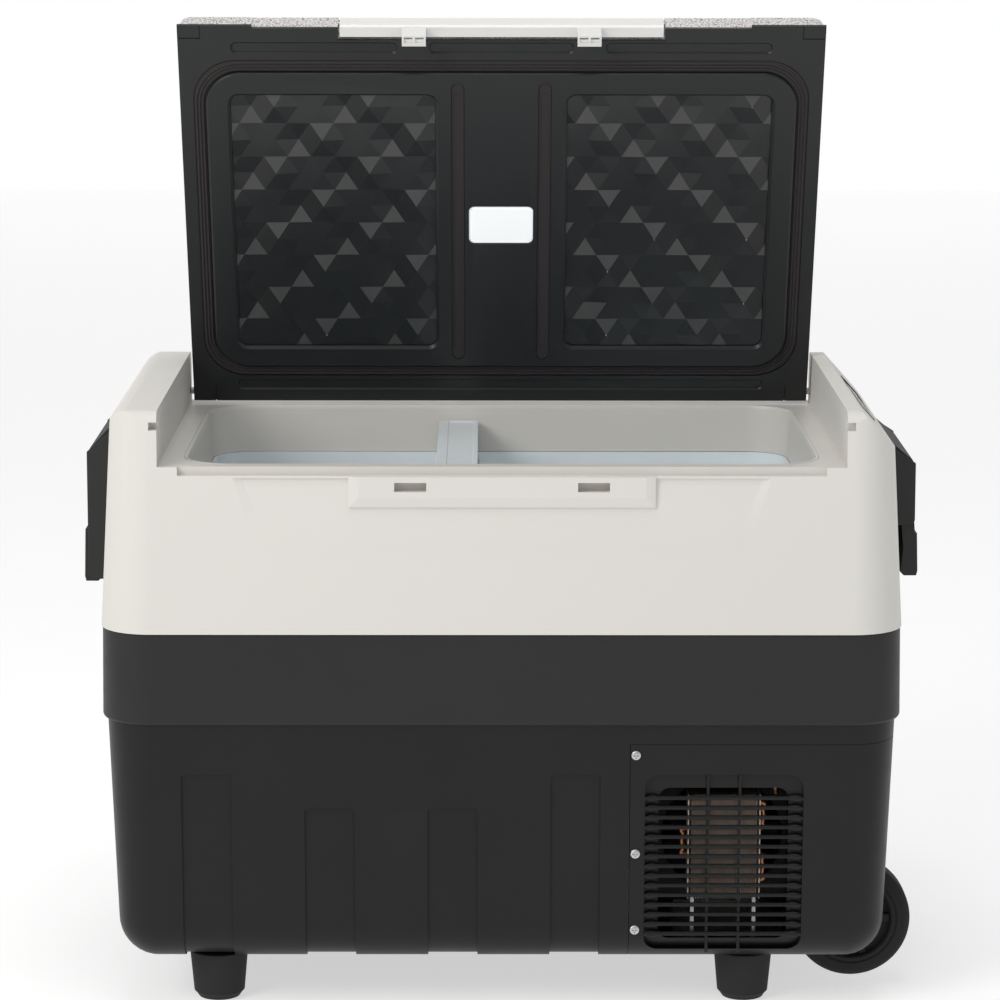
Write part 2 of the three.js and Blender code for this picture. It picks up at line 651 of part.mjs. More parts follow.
/** Pan-head screw with a crossed recess. */
function makeCoverScrew(side, x, z) {
  const faceY = tubFaceY(z);
  const { head, crown, height, shank, length, slotHalf, slotWide } = SCREW;
  const at = (out) => [x, side * (faceY + out), z];
  const body = join(
    rod(head, at(GAP), at(height), crown, 12),
    rod(shank, at(-length), at(GAP + 0.2), shank, 8),
  );
  const depth = slab(side, faceY + 1, faceY + 5);
  return cut(
    body,
    box(x - slotHalf, x + slotHalf, ...depth, z - slotWide, z + slotWide),
    box(x - slotWide, x + slotWide, ...depth, z - slotHalf, z + slotHalf),
  );
}

// ---------------------------------------------------------------- pieces in the bay

function makeCondenser() {
  const { left, right, bottom, top, front, rear, fins, finHalf, header, coolant } = CONDENSER;
  const pitch = (right - left) / (fins - 1);
  const plates = Array.from({ length: fins }, (_, fin) => {
    const x = left + fin * pitch;
    return box(x - finHalf, x + finHalf, front, rear, bottom, top);
  });
  const runs = coolant.map((z) => box(left - header, right + header, front + 9, rear - 9, z - 4, z + 4));
  const headers = [left - header, right + header].map((x) =>
    box(x - 1.2, x + 1.2, front + 6, rear - 6, bottom, top));
  return join(...plates, ...runs, ...headers);
}

function makeFanFrame() {
  const { x, y, z, radius, thick, hub, spider, spigot } = FAN;
  const half = radius + 4;
  const arm = half - 1;
  const rearY = y + thick / 2;
  const frame = box(x - half, x + half, y - thick / 2, rearY, z - half, z + half);
  const bore = rod(radius, [x, y - thick, z], [x, y + thick, z], radius, 28);
  return join(
    cut(frame, bore),
    box(x - arm, x + arm, rearY - spider, rearY, z - 3, z + 3),
    box(x - 3, x + 3, rearY - spider, rearY, z - arm, z + arm),
    rod(hub, [x, rearY - spider, z], [x, rearY, z], hub, 24),
    rod(spigot, [x, rearY - 18, z], [x, rearY - 1, z], spigot, 12),
  );
}

function makeFanRotor() {
  const { x, y, z, radius, thick, hub, spider, spigot, blades, bladePitch } = FAN;
  const front = y - thick / 2 + 1;
  const back = y + thick / 2 - spider - 1;
  const span = radius - hub - 1;
  const wings = Array.from({ length: blades }, (_, blade) => solid(
    new THREE.BoxGeometry(span, 1.6, thick - 1)
      .rotateX(THREE.MathUtils.degToRad(bladePitch))
      .translate(hub - 1.5 + span / 2, 0, 0)
      .rotateY(blade / blades * 2 * Math.PI)
      .translate(x, y - 1, z),
  ));
  return cut(
    join(rod(hub, [x, front, z], [x, back, z], hub, 24), ...wings),
    rod(spigot + GAP, [x, back - 18, z], [x, back + 2, z], spigot + GAP, 12),
  );
}

function makeCompressor() {
  const { x, y, radius, bottom, top, mountX, mountY, grommet } = COMPRESSOR;
  const can = turned([
    [0, bottom], [radius * 0.55, bottom], [radius * 0.9, bottom + 10], [radius, bottom + 26],
    [radius, bottom + 62], [radius + 2.5, bottom + 63], [radius + 2.5, bottom + 68], [radius, bottom + 69],
    [radius, top - 30], [radius * 0.86, top - 12], [radius * 0.5, top - 2], [0, top],
  ], x, y, 24);
  const base = roundedBlock(mountX + 14, mountY + 12, 16, x, y, bottom - 6, bottom + 4);
  const terminals = box(x - radius - 10, x - radius + 6, y - 16, y + 16, bottom + 30, bottom + 62);
  const bore = grommet + GAP;
  const holes = SIDES.flatMap((sideX) => SIDES.map((sideY) => {
    const at = (z) => [x + sideX * mountX, y + sideY * mountY, z];
    return rod(bore, at(bottom - 12), at(bottom + 8), bore, 14);
  }));
  return cut(join(can, base, terminals), ...holes);
}

/** Rubber grommet that carries one corner of the compressor's base. */
function makeGrommet(x, y) {
  const { bottom, grommet } = COMPRESSOR;
  const seat = bottom - 6 - GAP;
  const cap = bottom + 4 + GAP;
  return turned([
    [0, TRAY.top + 0.4], [10, TRAY.top + 0.4], [10, seat], [grommet, seat], [grommet, cap],
    [9, cap], [8, bottom + 9], [0, bottom + 9],
  ], x, y, 10);
}

function makeTray() {
  const { bottom, top, lip } = TRAY;
  const plate = roundedBlock(76, 66, 12, 182, COMPRESSOR.y, bottom, top);
  const front = box(144, 236, -150, -50, bottom, top);
  const lips = [107, 255].map((x) => box(x, x + 2, -56, 64, bottom + 0.1, lip));
  const posts = [156, 207].map((x) =>
    box(x, x + 3, -150, -143, bottom + 0.5, CONDENSER.bottom - GAP));
  return join(plate, front, ...lips, ...posts);
}

/** Circuit board on edge at the rear, with its coils, transistors and capacitors. */
function makeBoard() {
  const { left, right, bottom, top, front, rear, blocks, cans } = BOARD;
  const root = front + 0.5;
  const parts = blocks.map(([x0, x1, depth, z0, z1]) => box(x0, x1, front - depth, root, z0, z1));
  const capacitors = cans.map(([x, z]) => rod(8, [x, front - 22, z], [x, root, z], 8, 16));
  return join(box(left, right, front, rear, bottom, top), ...parts, ...capacitors);
}

function makeDrier() {
  const { x, y, bottom, top, radius, neck } = DRIER;
  return turned([
    [0, bottom], [neck, bottom], [neck, bottom + 10], [radius, bottom + 20],
    [radius, top - 20], [neck, top - 10], [neck, top], [0, top],
  ], x, y, 20);
}

/** Socket for the low-voltage supply lead, with two blades in its well. */
function makeSocket() {
  const { halfY, bottom, top, wall, flange, depth, blades } = SOCKET;
  const face = BELT.halfX - tubInset(top + flange) + GAP;
  const rim = wall + flange;
  const plate = box(face, face + 2.6, -halfY - rim, halfY + rim, bottom - rim, top + rim);
  const shell = box(face - depth - 6, face + 1, -halfY - wall, halfY + wall, bottom - wall, top + wall);
  const well = box(face - depth, face + 5, -halfY, halfY, bottom, top);
  const pins = blades.map((y) =>
    box(face - depth - 2, face - 6, y - 0.8, y + 0.8, bottom + 4, top - 4));
  return join(cut(join(plate, shell), well), ...pins);
}

// ---------------------------------------------------------------- feet, wheels, handles

function makeFoot(x, y) {
  const { top, radiusTop, radiusLow, radiusSole } = FOOT;
  return turned([[0, 0], [radiusSole, 0], [radiusLow, 5], [radiusTop, top], [0, top]], x, y, 20);
}

function makeWheel(side) {
  const { x, z, radius, nearY, farY, axle } = WHEEL;
  const half = (farY - nearY) / 2;
  const middle = side * (nearY + farY) / 2;
  const face = [
    [axle + GAP, half], [axle + 8, half], [axle + 9, half - 7], [radius * 0.66, half - 7],
    [radius * 0.7, half - 1], [radius - 4, half], [radius, half - 4],
  ];
  const profile = [
    ...face.map(([r, w]) => [r, -w]),
    ...face.toReversed(),
    [axle + GAP, -half],
  ].map(([r, w]) => new THREE.Vector2(r, w));
  return solid(new THREE.LatheGeometry(profile, 32).translate(x, middle, z));
}

function makeAxle(side) {
  const { x, z, nearY, farY, axle } = WHEEL;
  const at = (y) => [x, side * y, z];
  const end = WELL.endGap + WELL.wall + 2.5;
  return join(
    rod(axle, at(nearY - end), at(farY + end), axle, 16),
    rod(axle + 3, at(farY + end - 2.1), at(farY + end), axle + 2, 16),
    rod(axle + 3, at(nearY - end), at(nearY - end + 2.1), axle + 3, 16),
  );
}

/** Handle heights at each end: hood top, shoulder, hood foot and bail foot. */
const HANDLE_ENDS = [
  { side: -1, name: 'left', top: 474, shoulder: 452, hoodFoot: 392, bailFoot: 343 },
  { side: 1, name: 'right', top: 459, shoulder: 443, hoodFoot: 389, bailFoot: 348 },
];
const pivotHeight = (end) => end.shoulder - 10;

/** Fixed bracket: a back plate on the body, and a hood between the bail's arms. */
function makeBracket(end) {
  const face = (z) => BELT.halfX - shellInset(z) + 0.5;
  const { halfY, armY, reach, pivotX, pin } = HANDLE;
  const { top, shoulder, hoodFoot, bailFoot } = end;
  const hoodBack = shoulder - 22;
  const mirror = (points) => polygon(points.map(([x, z]) => [end.side * x, z]));
  const plate = alongY(mirror([
    [face(bailFoot), bailFoot], [face(bailFoot) + 2, bailFoot],
    [face(shoulder) + 4, shoulder - 2], [face(top) + 2, top], [face(top), top],
  ]), -halfY, halfY);
  const hood = alongY(mirror([
    [face(top), top], [face(hoodBack), hoodBack], [pivotX + 1, hoodBack], [reach - 4, hoodFoot],
    [reach - 1, hoodFoot], [reach - 2, shoulder], [face(top) + 4, top],
  ]), -armY + 7, armY - 7);
  const at = (y) => [end.side * pivotX, y, pivotHeight(end)];
  const pivots = SIDES.map((side) => rod(pin, at(side * (armY - 12)), at(side * (armY + 5)), pin, 16));
  return join(plate, hood, ...pivots);
}

/** Swinging bail: two arms on the bracket's pivots and a grip across their feet. */
function makeBail(end) {
  const { armY, reach, pivotX, pin } = HANDLE;
  const { side, hoodFoot, bailFoot } = end;
  const z = pivotHeight(end);
  const bore = pin + GAP;
  const arms = SIDES.map((sideY) => {
    const [y0, y1] = slab(sideY, armY - 6, armY + 6);
    const arm = alongY(polygon([
      [side * (pivotX - 5), z], [side * (pivotX + 7), z],
      [side * (reach + 1), bailFoot + 8], [side * (reach - 9), bailFoot + 8],
    ]), y0, y1);
    const boss = rod(7, [side * pivotX, y0, z], [side * pivotX, y1, z], 7, 24);
    return cut(join(arm, boss), rod(bore, [side * pivotX, y0 - 1, z], [side * pivotX, y1 + 1, z], bore, 16));
  });
  const inner = BELT.halfX - shellInset(bailFoot) + 3.2;
  const grip = alongY(polygon([
    [side * (inner + 4), bailFoot + 3], [side * (inner + 7), bailFoot],
    [side * (reach + 1), bailFoot], [side * (reach + 2), bailFoot + 4],
    [side * (reach + 1), hoodFoot - 5], [side * (reach - 9), hoodFoot - 5],
  ]), -armY - 6, armY + 6);
  return join(grip, ...arms);
}

// ---------------------------------------------------------------- lid

const lidCentreY = (LID.front + LID.rear) / 2;
const lidHalfY = (LID.rear - LID.front) / 2;

/** Heights of the closed lid's crown and how far the outline has drawn in at each. */
const LID_CROWN = [[460.3, 0], [475, 0.5], [479, 2.5], [485, 11], [492, 26], [497, 44], [499.6, 66]];

/** Rounded block centred between the limits of one lid feature. */
const lidBlock = ({ x, halfX, front, rear, corner }, grow, low, high, steps) => roundedBlock(
  halfX + grow, (rear - front) / 2 + grow, corner + grow, x, (front + rear) / 2, low, high, steps,
);

function lidForm(offset, bottom) {
  return loft(LID_CROWN.map(([z, inset], row) => {
    const shrink = inset + offset;
    return {
      z: row === 0 ? bottom : z - offset,
      outline: roundedOutline(LID.halfX - shrink, lidHalfY - shrink, LID.corner, 0, lidCentreY, 3),
    };
  }));
}

/** Hollows in the lid's outline for the latch bar, the stepped front edge and the hinge blocks. */
const lidRooms = (grow) => [
  box(
    -LATCH.halfX - 1.5 - grow, LATCH.halfX + 1.5 + grow, -FAR, LATCH.back + 3 + grow,
    440, LATCH.top + 6 + grow,
  ),
  box(-LID.stepHalfX - grow, LID.stepHalfX + grow, -FAR, LID.front + LID.step + grow, 400, 520),
  ...SIDES.map((side) => box(
    ...slab(side, 253.4 - grow, 280), LID.rear - 15 - grow, 200, 440, HINGE.z + 6.5 + grow,
  )),
];

/** Bar along the latch's pivot line. */
const latchPinBar = (radius, halfX) => rod(
  radius, [-halfX, LATCH.pivotY, LATCH.pivotZ], [halfX, LATCH.pivotY, LATCH.pivotZ], radius, 12,
);

function makeLidCover() {
  const cavity = cut(lidForm(LID.wall, 450), ...lidRooms(LID.wall));
  const pinHoles = latchPinBar(LATCH.pin + GAP, LATCH.pinHalfX + 1);
  return cut(lidForm(0, LID_CROWN[0][0]), cavity, ...lidRooms(0), pinHoles);
}

function makeLidFoam() {
  const inset = LID.wall + 2 * GAP;
  const pinRoom = box(
    -LATCH.pinHalfX - 2, LATCH.pinHalfX + 2, LID.front, LATCH.back + 5.2,
    LATCH.pivotZ - 10.5, LATCH.pivotZ + 11.5,
  );
  return cut(lidForm(inset, LID.bottom + 7), ...lidRooms(inset + GAP), pinRoom);
}

/** Long shallow pockets along the lid's front and rear margins. */
const MARGIN_POCKETS = [
  { x: -158, halfX: 69, front: -177, rear: -169, corner: 3.5 },
  { x: 0, halfX: 60, front: -177, rear: -169, corner: 3.5 },
  { x: 158, halfX: 69, front: -177, rear: -169, corner: 3.5 },
  { x: 0, halfX: 232, front: 149, rear: 157, corner: 3.5 },
];

const facetPanel = (side) => ({ ...FACET, x: side * FACET.x });
const dividerSeal = (side) => ({ ...STRIP, x: side * STRIP.x });

function makeLidLiner() {
  const plate = roundedBlock(LID.halfX, lidHalfY, LID.corner, 0, lidCentreY, LID.bottom, 460, 3);
  const plugRing = (z, shrink) => ({
    z,
    outline: roundedOutline(PLUG.halfX - shrink, PLUG.halfY - shrink, PLUG.corner - shrink, 0, PLUG.y),
  });
  const plug = loft([plugRing(PLUG.bottom, 1.6), plugRing(PLUG.bottom + 1.6, 0), plugRing(463.4, 0)]);
  const groove = cut(
    roundedBlock(GASKET.halfX + GAP, GASKET.halfY + GAP, GASKET.corner, 0, PLUG.y, 440, GASKET.top + GAP),
    roundedBlock(PLUG.halfX, PLUG.halfY, PLUG.corner, 0, PLUG.y, 440, 470),
  );
  const facets = SIDES.map((side) => lidBlock(facetPanel(side), 0, 440, 459.4));
  const strips = SIDES.map((side) => lidBlock(dividerSeal(side), GAP, 440, 456.5));
  const lamp = lidBlock(LAMP, GAP, 440, 458);
  const pockets = MARGIN_POCKETS.map((pocket) => lidBlock(pocket, 0, 440, LID.bottom + 1.6, 1));
  const blocks = SIDES.flatMap((side) => [
    box(...slab(side, 254, LID.halfX), LID.rear - 14.5, LID.rear, LID.bottom, HINGE.z + 6),
    box(...slab(side, 254, LID.halfX), LID.front, LID.front + 12, LID.bottom, 459),
  ]);
  const bores = SIDES.map((side) => rod(
    HINGE.bore, [side * (HINGE.pinInnerX - 1.5), HINGE.y, HINGE.z], [side * FAR, HINGE.y, HINGE.z],
  ));
  const [latchHollow, frontStep] = lidRooms(0);
  return cut(
    join(plate, plug, ...blocks), groove, ...facets, ...strips, lamp, ...pockets, ...bores,
    latchHollow, frontStep,
  );
}

function makeGasket() {
  const ring = (z, shrink, corner) => ({
    z,
    outline: roundedOutline(GASKET.halfX - shrink, GASKET.halfY - shrink, corner, 0, PLUG.y),
  });
  const { bottom, top, corner } = GASKET;
  const outer = loft([ring(bottom, 2, corner - 2), ring(bottom + 1, 0.2, corner), ring(top, 0.2, corner)]);
  return cut(outer, roundedBlock(PLUG.halfX + 1, PLUG.halfY + 1, PLUG.corner + 1, 0, PLUG.y, 440, 470));
}

function makeLatchBar() {
  const { halfX, back, bottom, top, hookTip, pin } = LATCH;
  const front = LID.front;
  const bar = alongX(polygon([
    [front + 1.5, bottom], [back, bottom], [back, top - 3], [back - 3, top],
    [front + 3, top], [front, top - 3], [front, bottom + 2],
  ]), -halfX, halfX);
  const hooks = SIDES.map((side) => {
    const x = side * KEEPER.x;
    const tongue = box(x - 10, x + 10, front + 2, front + 6, hookTip, bottom + 2);
    const lip = alongX(polygon([
      [front + 5, hookTip], [front + 11.5, hookTip + 0.5],
      [front + 11.5, hookTip + 1.6], [front + 5, hookTip + 2.6],
    ]), x - 10, x + 10);
    const rib = box(x - 1, x + 1, front + 5, front + 9, hookTip + 1.5, bottom + 2);
    return join(tongue, lip, rib);
  });
  const scoop = box(-halfX + 8, halfX - 8, back - 3, back + 2, bottom + 3, LATCH.pivotZ - 6);
  return cut(join(bar, ...hooks), latchPinBar(pin + GAP, halfX + 2), scoop);
}

// ---------------------------------------------------------------- control panel

const buttonY = (row) => BUTTONS.firstY - row * BUTTONS.pitch;

function makeControlPanel() {
  const { halfWidth, halfY, corner, y, thick } = PANEL;
  const plate = onSlope(halfWidth, halfY, corner, y, -thick - 0.2, -0.2);
  const window = onSlope(DISPLAY.halfWidth + GAP, DISPLAY.halfY + GAP, 3, DISPLAY.y, -10, 4);
  const holes = BUTTONS.names.map((_, row) =>
    onSlope(BUTTONS.halfWidth + GAP, BUTTONS.halfY + GAP, 3, buttonY(row), -10, 4));
  return cut(plate, window, ...holes);
}

// ---------------------------------------------------------------- build

addPiece('lower_housing', makeTub(), FINISH.tub);
addPiece('belt_band', makeBelt(), FINISH.belt);
addPiece('upper_shell', makeShell(), FINISH.whiteShell);
addPiece('opening_collar', makeCollar(), FINISH.collar);
addPiece('food_liner', makeLiner(), FINISH.liner);
addPiece('insulation_foam', makeFoam(), FINISH.foam);
addPiece('evaporator_plate', makeEvaporator(), FINISH.aluminium);
addPiece('bay_cover', makeBayCover(), FINISH.tub);
for (const side of SIDES) {
  const end = side < 0 ? 'front' : 'rear';
  COVER_SCREWS.forEach(([x, z], row) => {
    addPiece(`cover_screw_${end}_${row + 1}`, makeCoverScrew(side, x, z), FINISH.steel);
  });
  addPiece(`foot_${end}_left`, makeFoot(FOOT.left, side * FOOT.y), FINISH.rubber);
  addPiece(`foot_${end}_right`, makeFoot(FOOT.right, side * FOOT.y), FINISH.rubber);
  addPiece(`wheel_${end}`, makeWheel(side), FINISH.rubber);
  addPiece(`axle_${end}`, makeAxle(side), FINISH.steel);
}
addPiece('condenser', makeCondenser(), FINISH.aluminium);
addPiece('fan_frame', makeFanFrame(), FINISH.blackPlastic);
addPiece('fan_rotor', makeFanRotor(), FINISH.blackPlastic);
addPiece('compressor', makeCompressor(), FINISH.darkSteel);
SIDES.forEach((sideX, column) => SIDES.forEach((sideY, row) => {
  const grommet = makeGrommet(
    COMPRESSOR.x + sideX * COMPRESSOR.mountX,
    COMPRESSOR.y + sideY * COMPRESSOR.mountY,
  );
  addPiece(`compressor_grommet_${2 * column + row + 1}`, grommet, FINISH.rubber);
}));
addPiece('base_tray', makeTray(), FINISH.steel);
addPiece('control_board', makeBoard(), FINISH.board);
addPiece('filter_drier', makeDrier(), FINISH.copper);
addPiece('discharge_pipe', tube(DISCHARGE_ROUTE, 2.6, 16, 6), FINISH.copper);
addPiece('suction_pipe', tube(SUCTION_ROUTE, 3.2, 12, 6), FINISH.copper);
addPiece('supply_socket', makeSocket(), FINISH.blackPlastic);
for (const end of HANDLE_ENDS) {
  addPiece(`handle_bracket_${end.name}`, makeBracket(end), FINISH.blackPlastic);
  addPiece(`handle_bail_${end.name}`, makeBail(end), FINISH.blackPlastic);
}
addPiece('control_panel', makeControlPanel(), FINISH.whiteShell);
addPiece(
  'display_window',
  onSlope(DISPLAY.halfWidth, DISPLAY.halfY, 2.7, DISPLAY.y, -3, -0.4),
  FINISH.display,
);
BUTTONS.names.forEach((name, row) => {
  const cap = onSlope(BUTTONS.halfWidth, BUTTONS.halfY, 2.7, buttonY(row), -3.4, BUTTONS.stand);
  addPiece(`button_${name}`, cap, FINISH.button);
});
addPiece(
  'zone_divider',
  roundedBlock(
    DIVIDER.halfX, LINER.halfY - LINER.wall - 2 * GAP, 3, DIVIDER.x, OPENING.y,
    DIVIDER.bottom, DIVIDER.top, 2,
  ),
  FINISH.divider,
);
for (const side of SIDES) {
  const name = side < 0 ? 'left' : 'right';
  const at = (x) => [side * x, HINGE.y, HINGE.z];
  const { pin, head, pinInnerX, pinOuterX } = HINGE;
  const shank = rod(pin, at(pinInnerX), at(pinOuterX));
  const pinHead = rod(head, at(pinOuterX - 4.1), at(pinOuterX), head);
  addPiece(`hinge_pin_${name}`, join(shank, pinHead), FINISH.steel);
}

addLidPiece('lid_cover', makeLidCover(), FINISH.lidCover);
addLidPiece('lid_liner', makeLidLiner(), FINISH.lidBlack);
addLidPiece('lid_foam', makeLidFoam(), FINISH.foam);
addLidPiece('lid_gasket', makeGasket(), FINISH.seal);
for (const side of SIDES) {
  const name = side < 0 ? 'left' : 'right';
  addLidPiece(`facet_panel_${name}`, lidBlock(facetPanel(side), -GAP, 455.4, 459.1, 2), FINISH.lidBlack);
  addLidPiece(`divider_seal_${name}`, lidBlock(dividerSeal(side), -0.02, 454.2, 456.2), FINISH.seal);
}
addLidPiece('lamp_lens', lidBlock(LAMP, -0.02, 454.4, 457.7), FINISH.lens);
addLidPiece('latch_bar', makeLatchBar(), FINISH.latch);
addLidPiece('latch_pin', latchPinBar(LATCH.pin, LATCH.pinHalfX), FINISH.steel);

// The origin is on the floor, in the middle of the cooler's outline with its lid open.
cooler.updateMatrixWorld(true);
const limits = new THREE.Box3().setFromObject(cooler, true);
const middle = limits.getCenter(new THREE.Vector3());
cooler.position.set(-middle.x, -middle.y, -limits.min.z);

export default cooler;
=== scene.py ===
import json
import logging
import math
from contextlib import contextmanager
from dataclasses import dataclass
from enum import Enum
from typing import Callable, Iterator, Sequence

import bmesh
import bpy
from mathutils import Matrix, Vector


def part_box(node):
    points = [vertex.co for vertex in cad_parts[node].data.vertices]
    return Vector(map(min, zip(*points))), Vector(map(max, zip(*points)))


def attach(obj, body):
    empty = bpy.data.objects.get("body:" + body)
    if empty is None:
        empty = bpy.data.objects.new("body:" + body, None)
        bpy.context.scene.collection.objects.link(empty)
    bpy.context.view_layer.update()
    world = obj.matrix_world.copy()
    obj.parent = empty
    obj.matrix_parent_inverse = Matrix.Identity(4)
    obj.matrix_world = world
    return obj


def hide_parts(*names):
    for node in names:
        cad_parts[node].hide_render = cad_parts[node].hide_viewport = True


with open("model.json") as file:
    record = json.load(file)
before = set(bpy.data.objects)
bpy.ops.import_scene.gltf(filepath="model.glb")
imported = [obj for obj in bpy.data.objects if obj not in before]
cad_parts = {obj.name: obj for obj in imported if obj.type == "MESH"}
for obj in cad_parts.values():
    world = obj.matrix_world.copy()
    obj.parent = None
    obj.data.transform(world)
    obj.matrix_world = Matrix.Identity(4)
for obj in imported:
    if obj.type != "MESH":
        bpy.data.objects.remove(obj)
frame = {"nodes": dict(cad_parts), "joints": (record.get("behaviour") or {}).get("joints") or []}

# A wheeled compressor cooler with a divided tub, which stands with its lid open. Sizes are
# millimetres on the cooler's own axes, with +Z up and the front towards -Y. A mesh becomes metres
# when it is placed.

LOG = logging.getLogger("cooler")
MM = 0.001
GAP = 0.3
FAR = 400.0
WELD = 1e-4
NODE_WELD = 0.002
SIDES = (-1, 1)
END_NAMES = {-1: "front", 1: "rear"}
HAND_NAMES = {-1: "left", 1: "right"}
HINGE_AT = (164.5, 466.0)
HINGE_BORE = 3.3
LATCH_AT = (-188.2, 472.5)
LATCH_BORE = 2.3

Point = tuple[float, float]
Place = tuple[float, float, float]
Outline = list[Point]
Colour = tuple[float, float, float]


def limits(node: str) -> tuple[Vector, Vector]:
    """Give a node's lowest and highest corners.

    Args:
        node: Name of a node in the frame.

    Returns:
        The two corners in millimetres.
    """
    low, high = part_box(node)
    return low / MM, high / MM


# ---------------------------------------------------------------- finishes


class Grain(Enum):
    """Kind of fine pattern on a surface."""

    MOULDED = "moulded"
    SPECKLED = "speckled"
    LINED = "lined"
    BRUSHED = "brushed"
    CELLULAR = "cellular"


STRETCH = {
    Grain.MOULDED: (1.0, 1.0, 1.0),
    Grain.SPECKLED: (1.0, 1.0, 1.0),
    Grain.LINED: (1.0, 0.012, 0.3),
    Grain.BRUSHED: (0.05, 1.0, 1.0),
    Grain.CELLULAR: (1.0, 1.0, 1.0),
}


@dataclass(frozen=True)
class Finish:
    """One surface finish, with its grain and wear.

    Args:
        name: Name of the material.
        colour: Linear colour of the surface.
        roughness: Mean roughness.
        metallic: 1 for bare metal.
        grain: Kind of fine pattern.
        size: Width of one grain in millimetres.
        relief: Height of the grain in millimetres.
        tone: How far patches of the surface differ in brightness.
        fleck: Linear colour of the flecks, or None.
        coat: Weight of a clear coat.
        specular: Specular level of the base.
        glow: Strength of the light that it gives off.
    """

    name: str
    colour: Colour
    roughness: float = 0.45
    metallic: float = 0.0
    grain: Grain = Grain.MOULDED
    size: float = 0.9
    relief: float = 0.04
    tone: float = 0.05
    fleck: Colour | None = None
    coat: float = 0.0
    specular: float = 0.5
    glow: float = 0.0

    def material(self) -> bpy.types.Material:
        """Give the finish's material, made at its first use."""
        return bpy.data.materials.get(self.name) or self._build()

    def _build(self) -> bpy.types.Material:
        """Build the node tree.

        Returns:
            The new material.
        """
        material = bpy.data.materials.new(self.name)
        material.use_nodes = True
        tree = material.node_tree
        shader = tree.nodes["Principled BSDF"]
        shader.inputs["Metallic"].default_value = self.metallic
        shader.inputs["Coat Weight"].default_value = self.coat
        shader.inputs["Coat Roughness"].default_value = 0.12
        shader.inputs["Specular IOR Level"].default_value = self.specular
        shader.inputs["Emission Color"].default_value = (*self.colour, 1.0)
        shader.inputs["Emission Strength"].default_value = self.glow
        coordinates = tree.nodes.new("ShaderNodeTexCoord").outputs["Object"]
        grain = self._grain(tree, coordinates)
        self._colour(tree, coordinates, grain, shader)
        self._gloss(tree, coordinates, shader)
        bump = self._node(tree, "Bump", {"Height": grain}, Strength=0.8, Distance=self.relief * MM)
        tree.links.new(bump.outputs["Normal"], shader.inputs["Normal"])
        material.diffuse_color = (*self.colour, 1.0)
        return material

    @staticmethod
    def _node(
        tree: bpy.types.NodeTree,
        kind: str,
        links: dict[str, bpy.types.NodeSocket],
        **values: object,
    ) -> bpy.types.Node:
        """Add a shader node.

        Args:
            tree: Tree of the material.
            kind: Kind of node, without its prefix.
            links: Sockets that feed its inputs, by name.
            values: Plain values of its inputs, with underscores for spaces.

        Returns:
            The node.
        """
        node = tree.nodes.new(f"ShaderNode{kind}")
        for name, socket in links.items():
            tree.links.new(socket, node.inputs[name])
        for name, value in values.items():
            node.inputs[name.replace("_", " ")].default_value = value
        return node

    def _grain(
        self, tree: bpy.types.NodeTree, coordinates: bpy.types.NodeSocket
    ) -> bpy.types.NodeSocket:
        """Add the fine pattern.

        Args:
            tree: Tree of the material.
            coordinates: Socket that gives the place on the piece.

        Returns:
            Socket with the pattern's height from 0 to 1.
        """
        mapping = self._node(tree, "Mapping", {"Vector": coordinates}, Scale=STRETCH[self.grain])
        place_on = {"Vector": mapping.outputs["Vector"]}
        fineness = 1.0 / (self.size * MM)
        if self.grain is Grain.CELLULAR:
            return self._node(tree, "TexVoronoi", place_on, Scale=fineness).outputs["Distance"]
        noise = self._node(tree, "TexNoise", place_on, Scale=fineness, Detail=3.0, Roughness=0.6)
        return noise.outputs["Fac"]

    def _colour(
        self,
        tree: bpy.types.NodeTree,
        coordinates: bpy.types.NodeSocket,
        grain: bpy.types.NodeSocket,
        shader: bpy.types.Node,
    ) -> None:
        """Add the colour, with its patches and flecks.

        Args:
            tree: Tree of the material.
            coordinates: Socket that gives the place on the piece.
            grain: Socket of the fine pattern.
            shader: Shader that takes the colour.
        """
        patches = self._node(tree, "TexNoise", {"Vector": coordinates}, Scale=14.0, Detail=5.0)
        ramp = self._node(tree, "ValToRGB", {"Fac": patches.outputs["Fac"]})
        for stop, place_at, change in zip(
            ramp.color_ramp.elements, (0.3, 0.7), (1.0 - self.tone, 1.0 + self.tone)
        ):
            stop.position = place_at
            stop.color = (*[min(c * change, 1.0) for c in self.colour], 1.0)
        colour = ramp.outputs["Color"]
        if self.fleck is not None:
            spread = self._node(tree, "MapRange", {"Value": grain}, From_Min=0.5, From_Max=0.62)
            mix = tree.nodes.new("ShaderNodeMix")
            mix.data_type = "RGBA"
            mix.inputs[7].default_value = (*self.fleck, 1.0)
            tree.links.new(spread.outputs["Result"], mix.inputs[0])
            tree.links.new(colour, mix.inputs[6])
            colour = mix.outputs[2]
        tree.links.new(colour, shader.inputs["Base Color"])

    def _gloss(
        self, tree: bpy.types.NodeTree, coordinates: bpy.types.NodeSocket, shader: bpy.types.Node
    ) -> None:
        """Add the roughness, with faint rubbed patches.

        Args:
            tree: Tree of the material.
            coordinates: Socket that gives the place on the piece.
            shader: Shader that takes the roughness.
        """
        rubbed = self._node(tree, "TexNoise", {"Vector": coordinates}, Scale=55.0, Detail=4.0)
        spread = self._node(
            tree, "MapRange", {"Value": rubbed.outputs["Fac"]}, From_Min=0.3, From_Max=0.7,
            To_Min=max(self.roughness - 0.02, 0.03), To_Max=min(self.roughness + 0.03, 1.0),
        )
        tree.links.new(spread.outputs["Result"], shader.inputs["Roughness"])


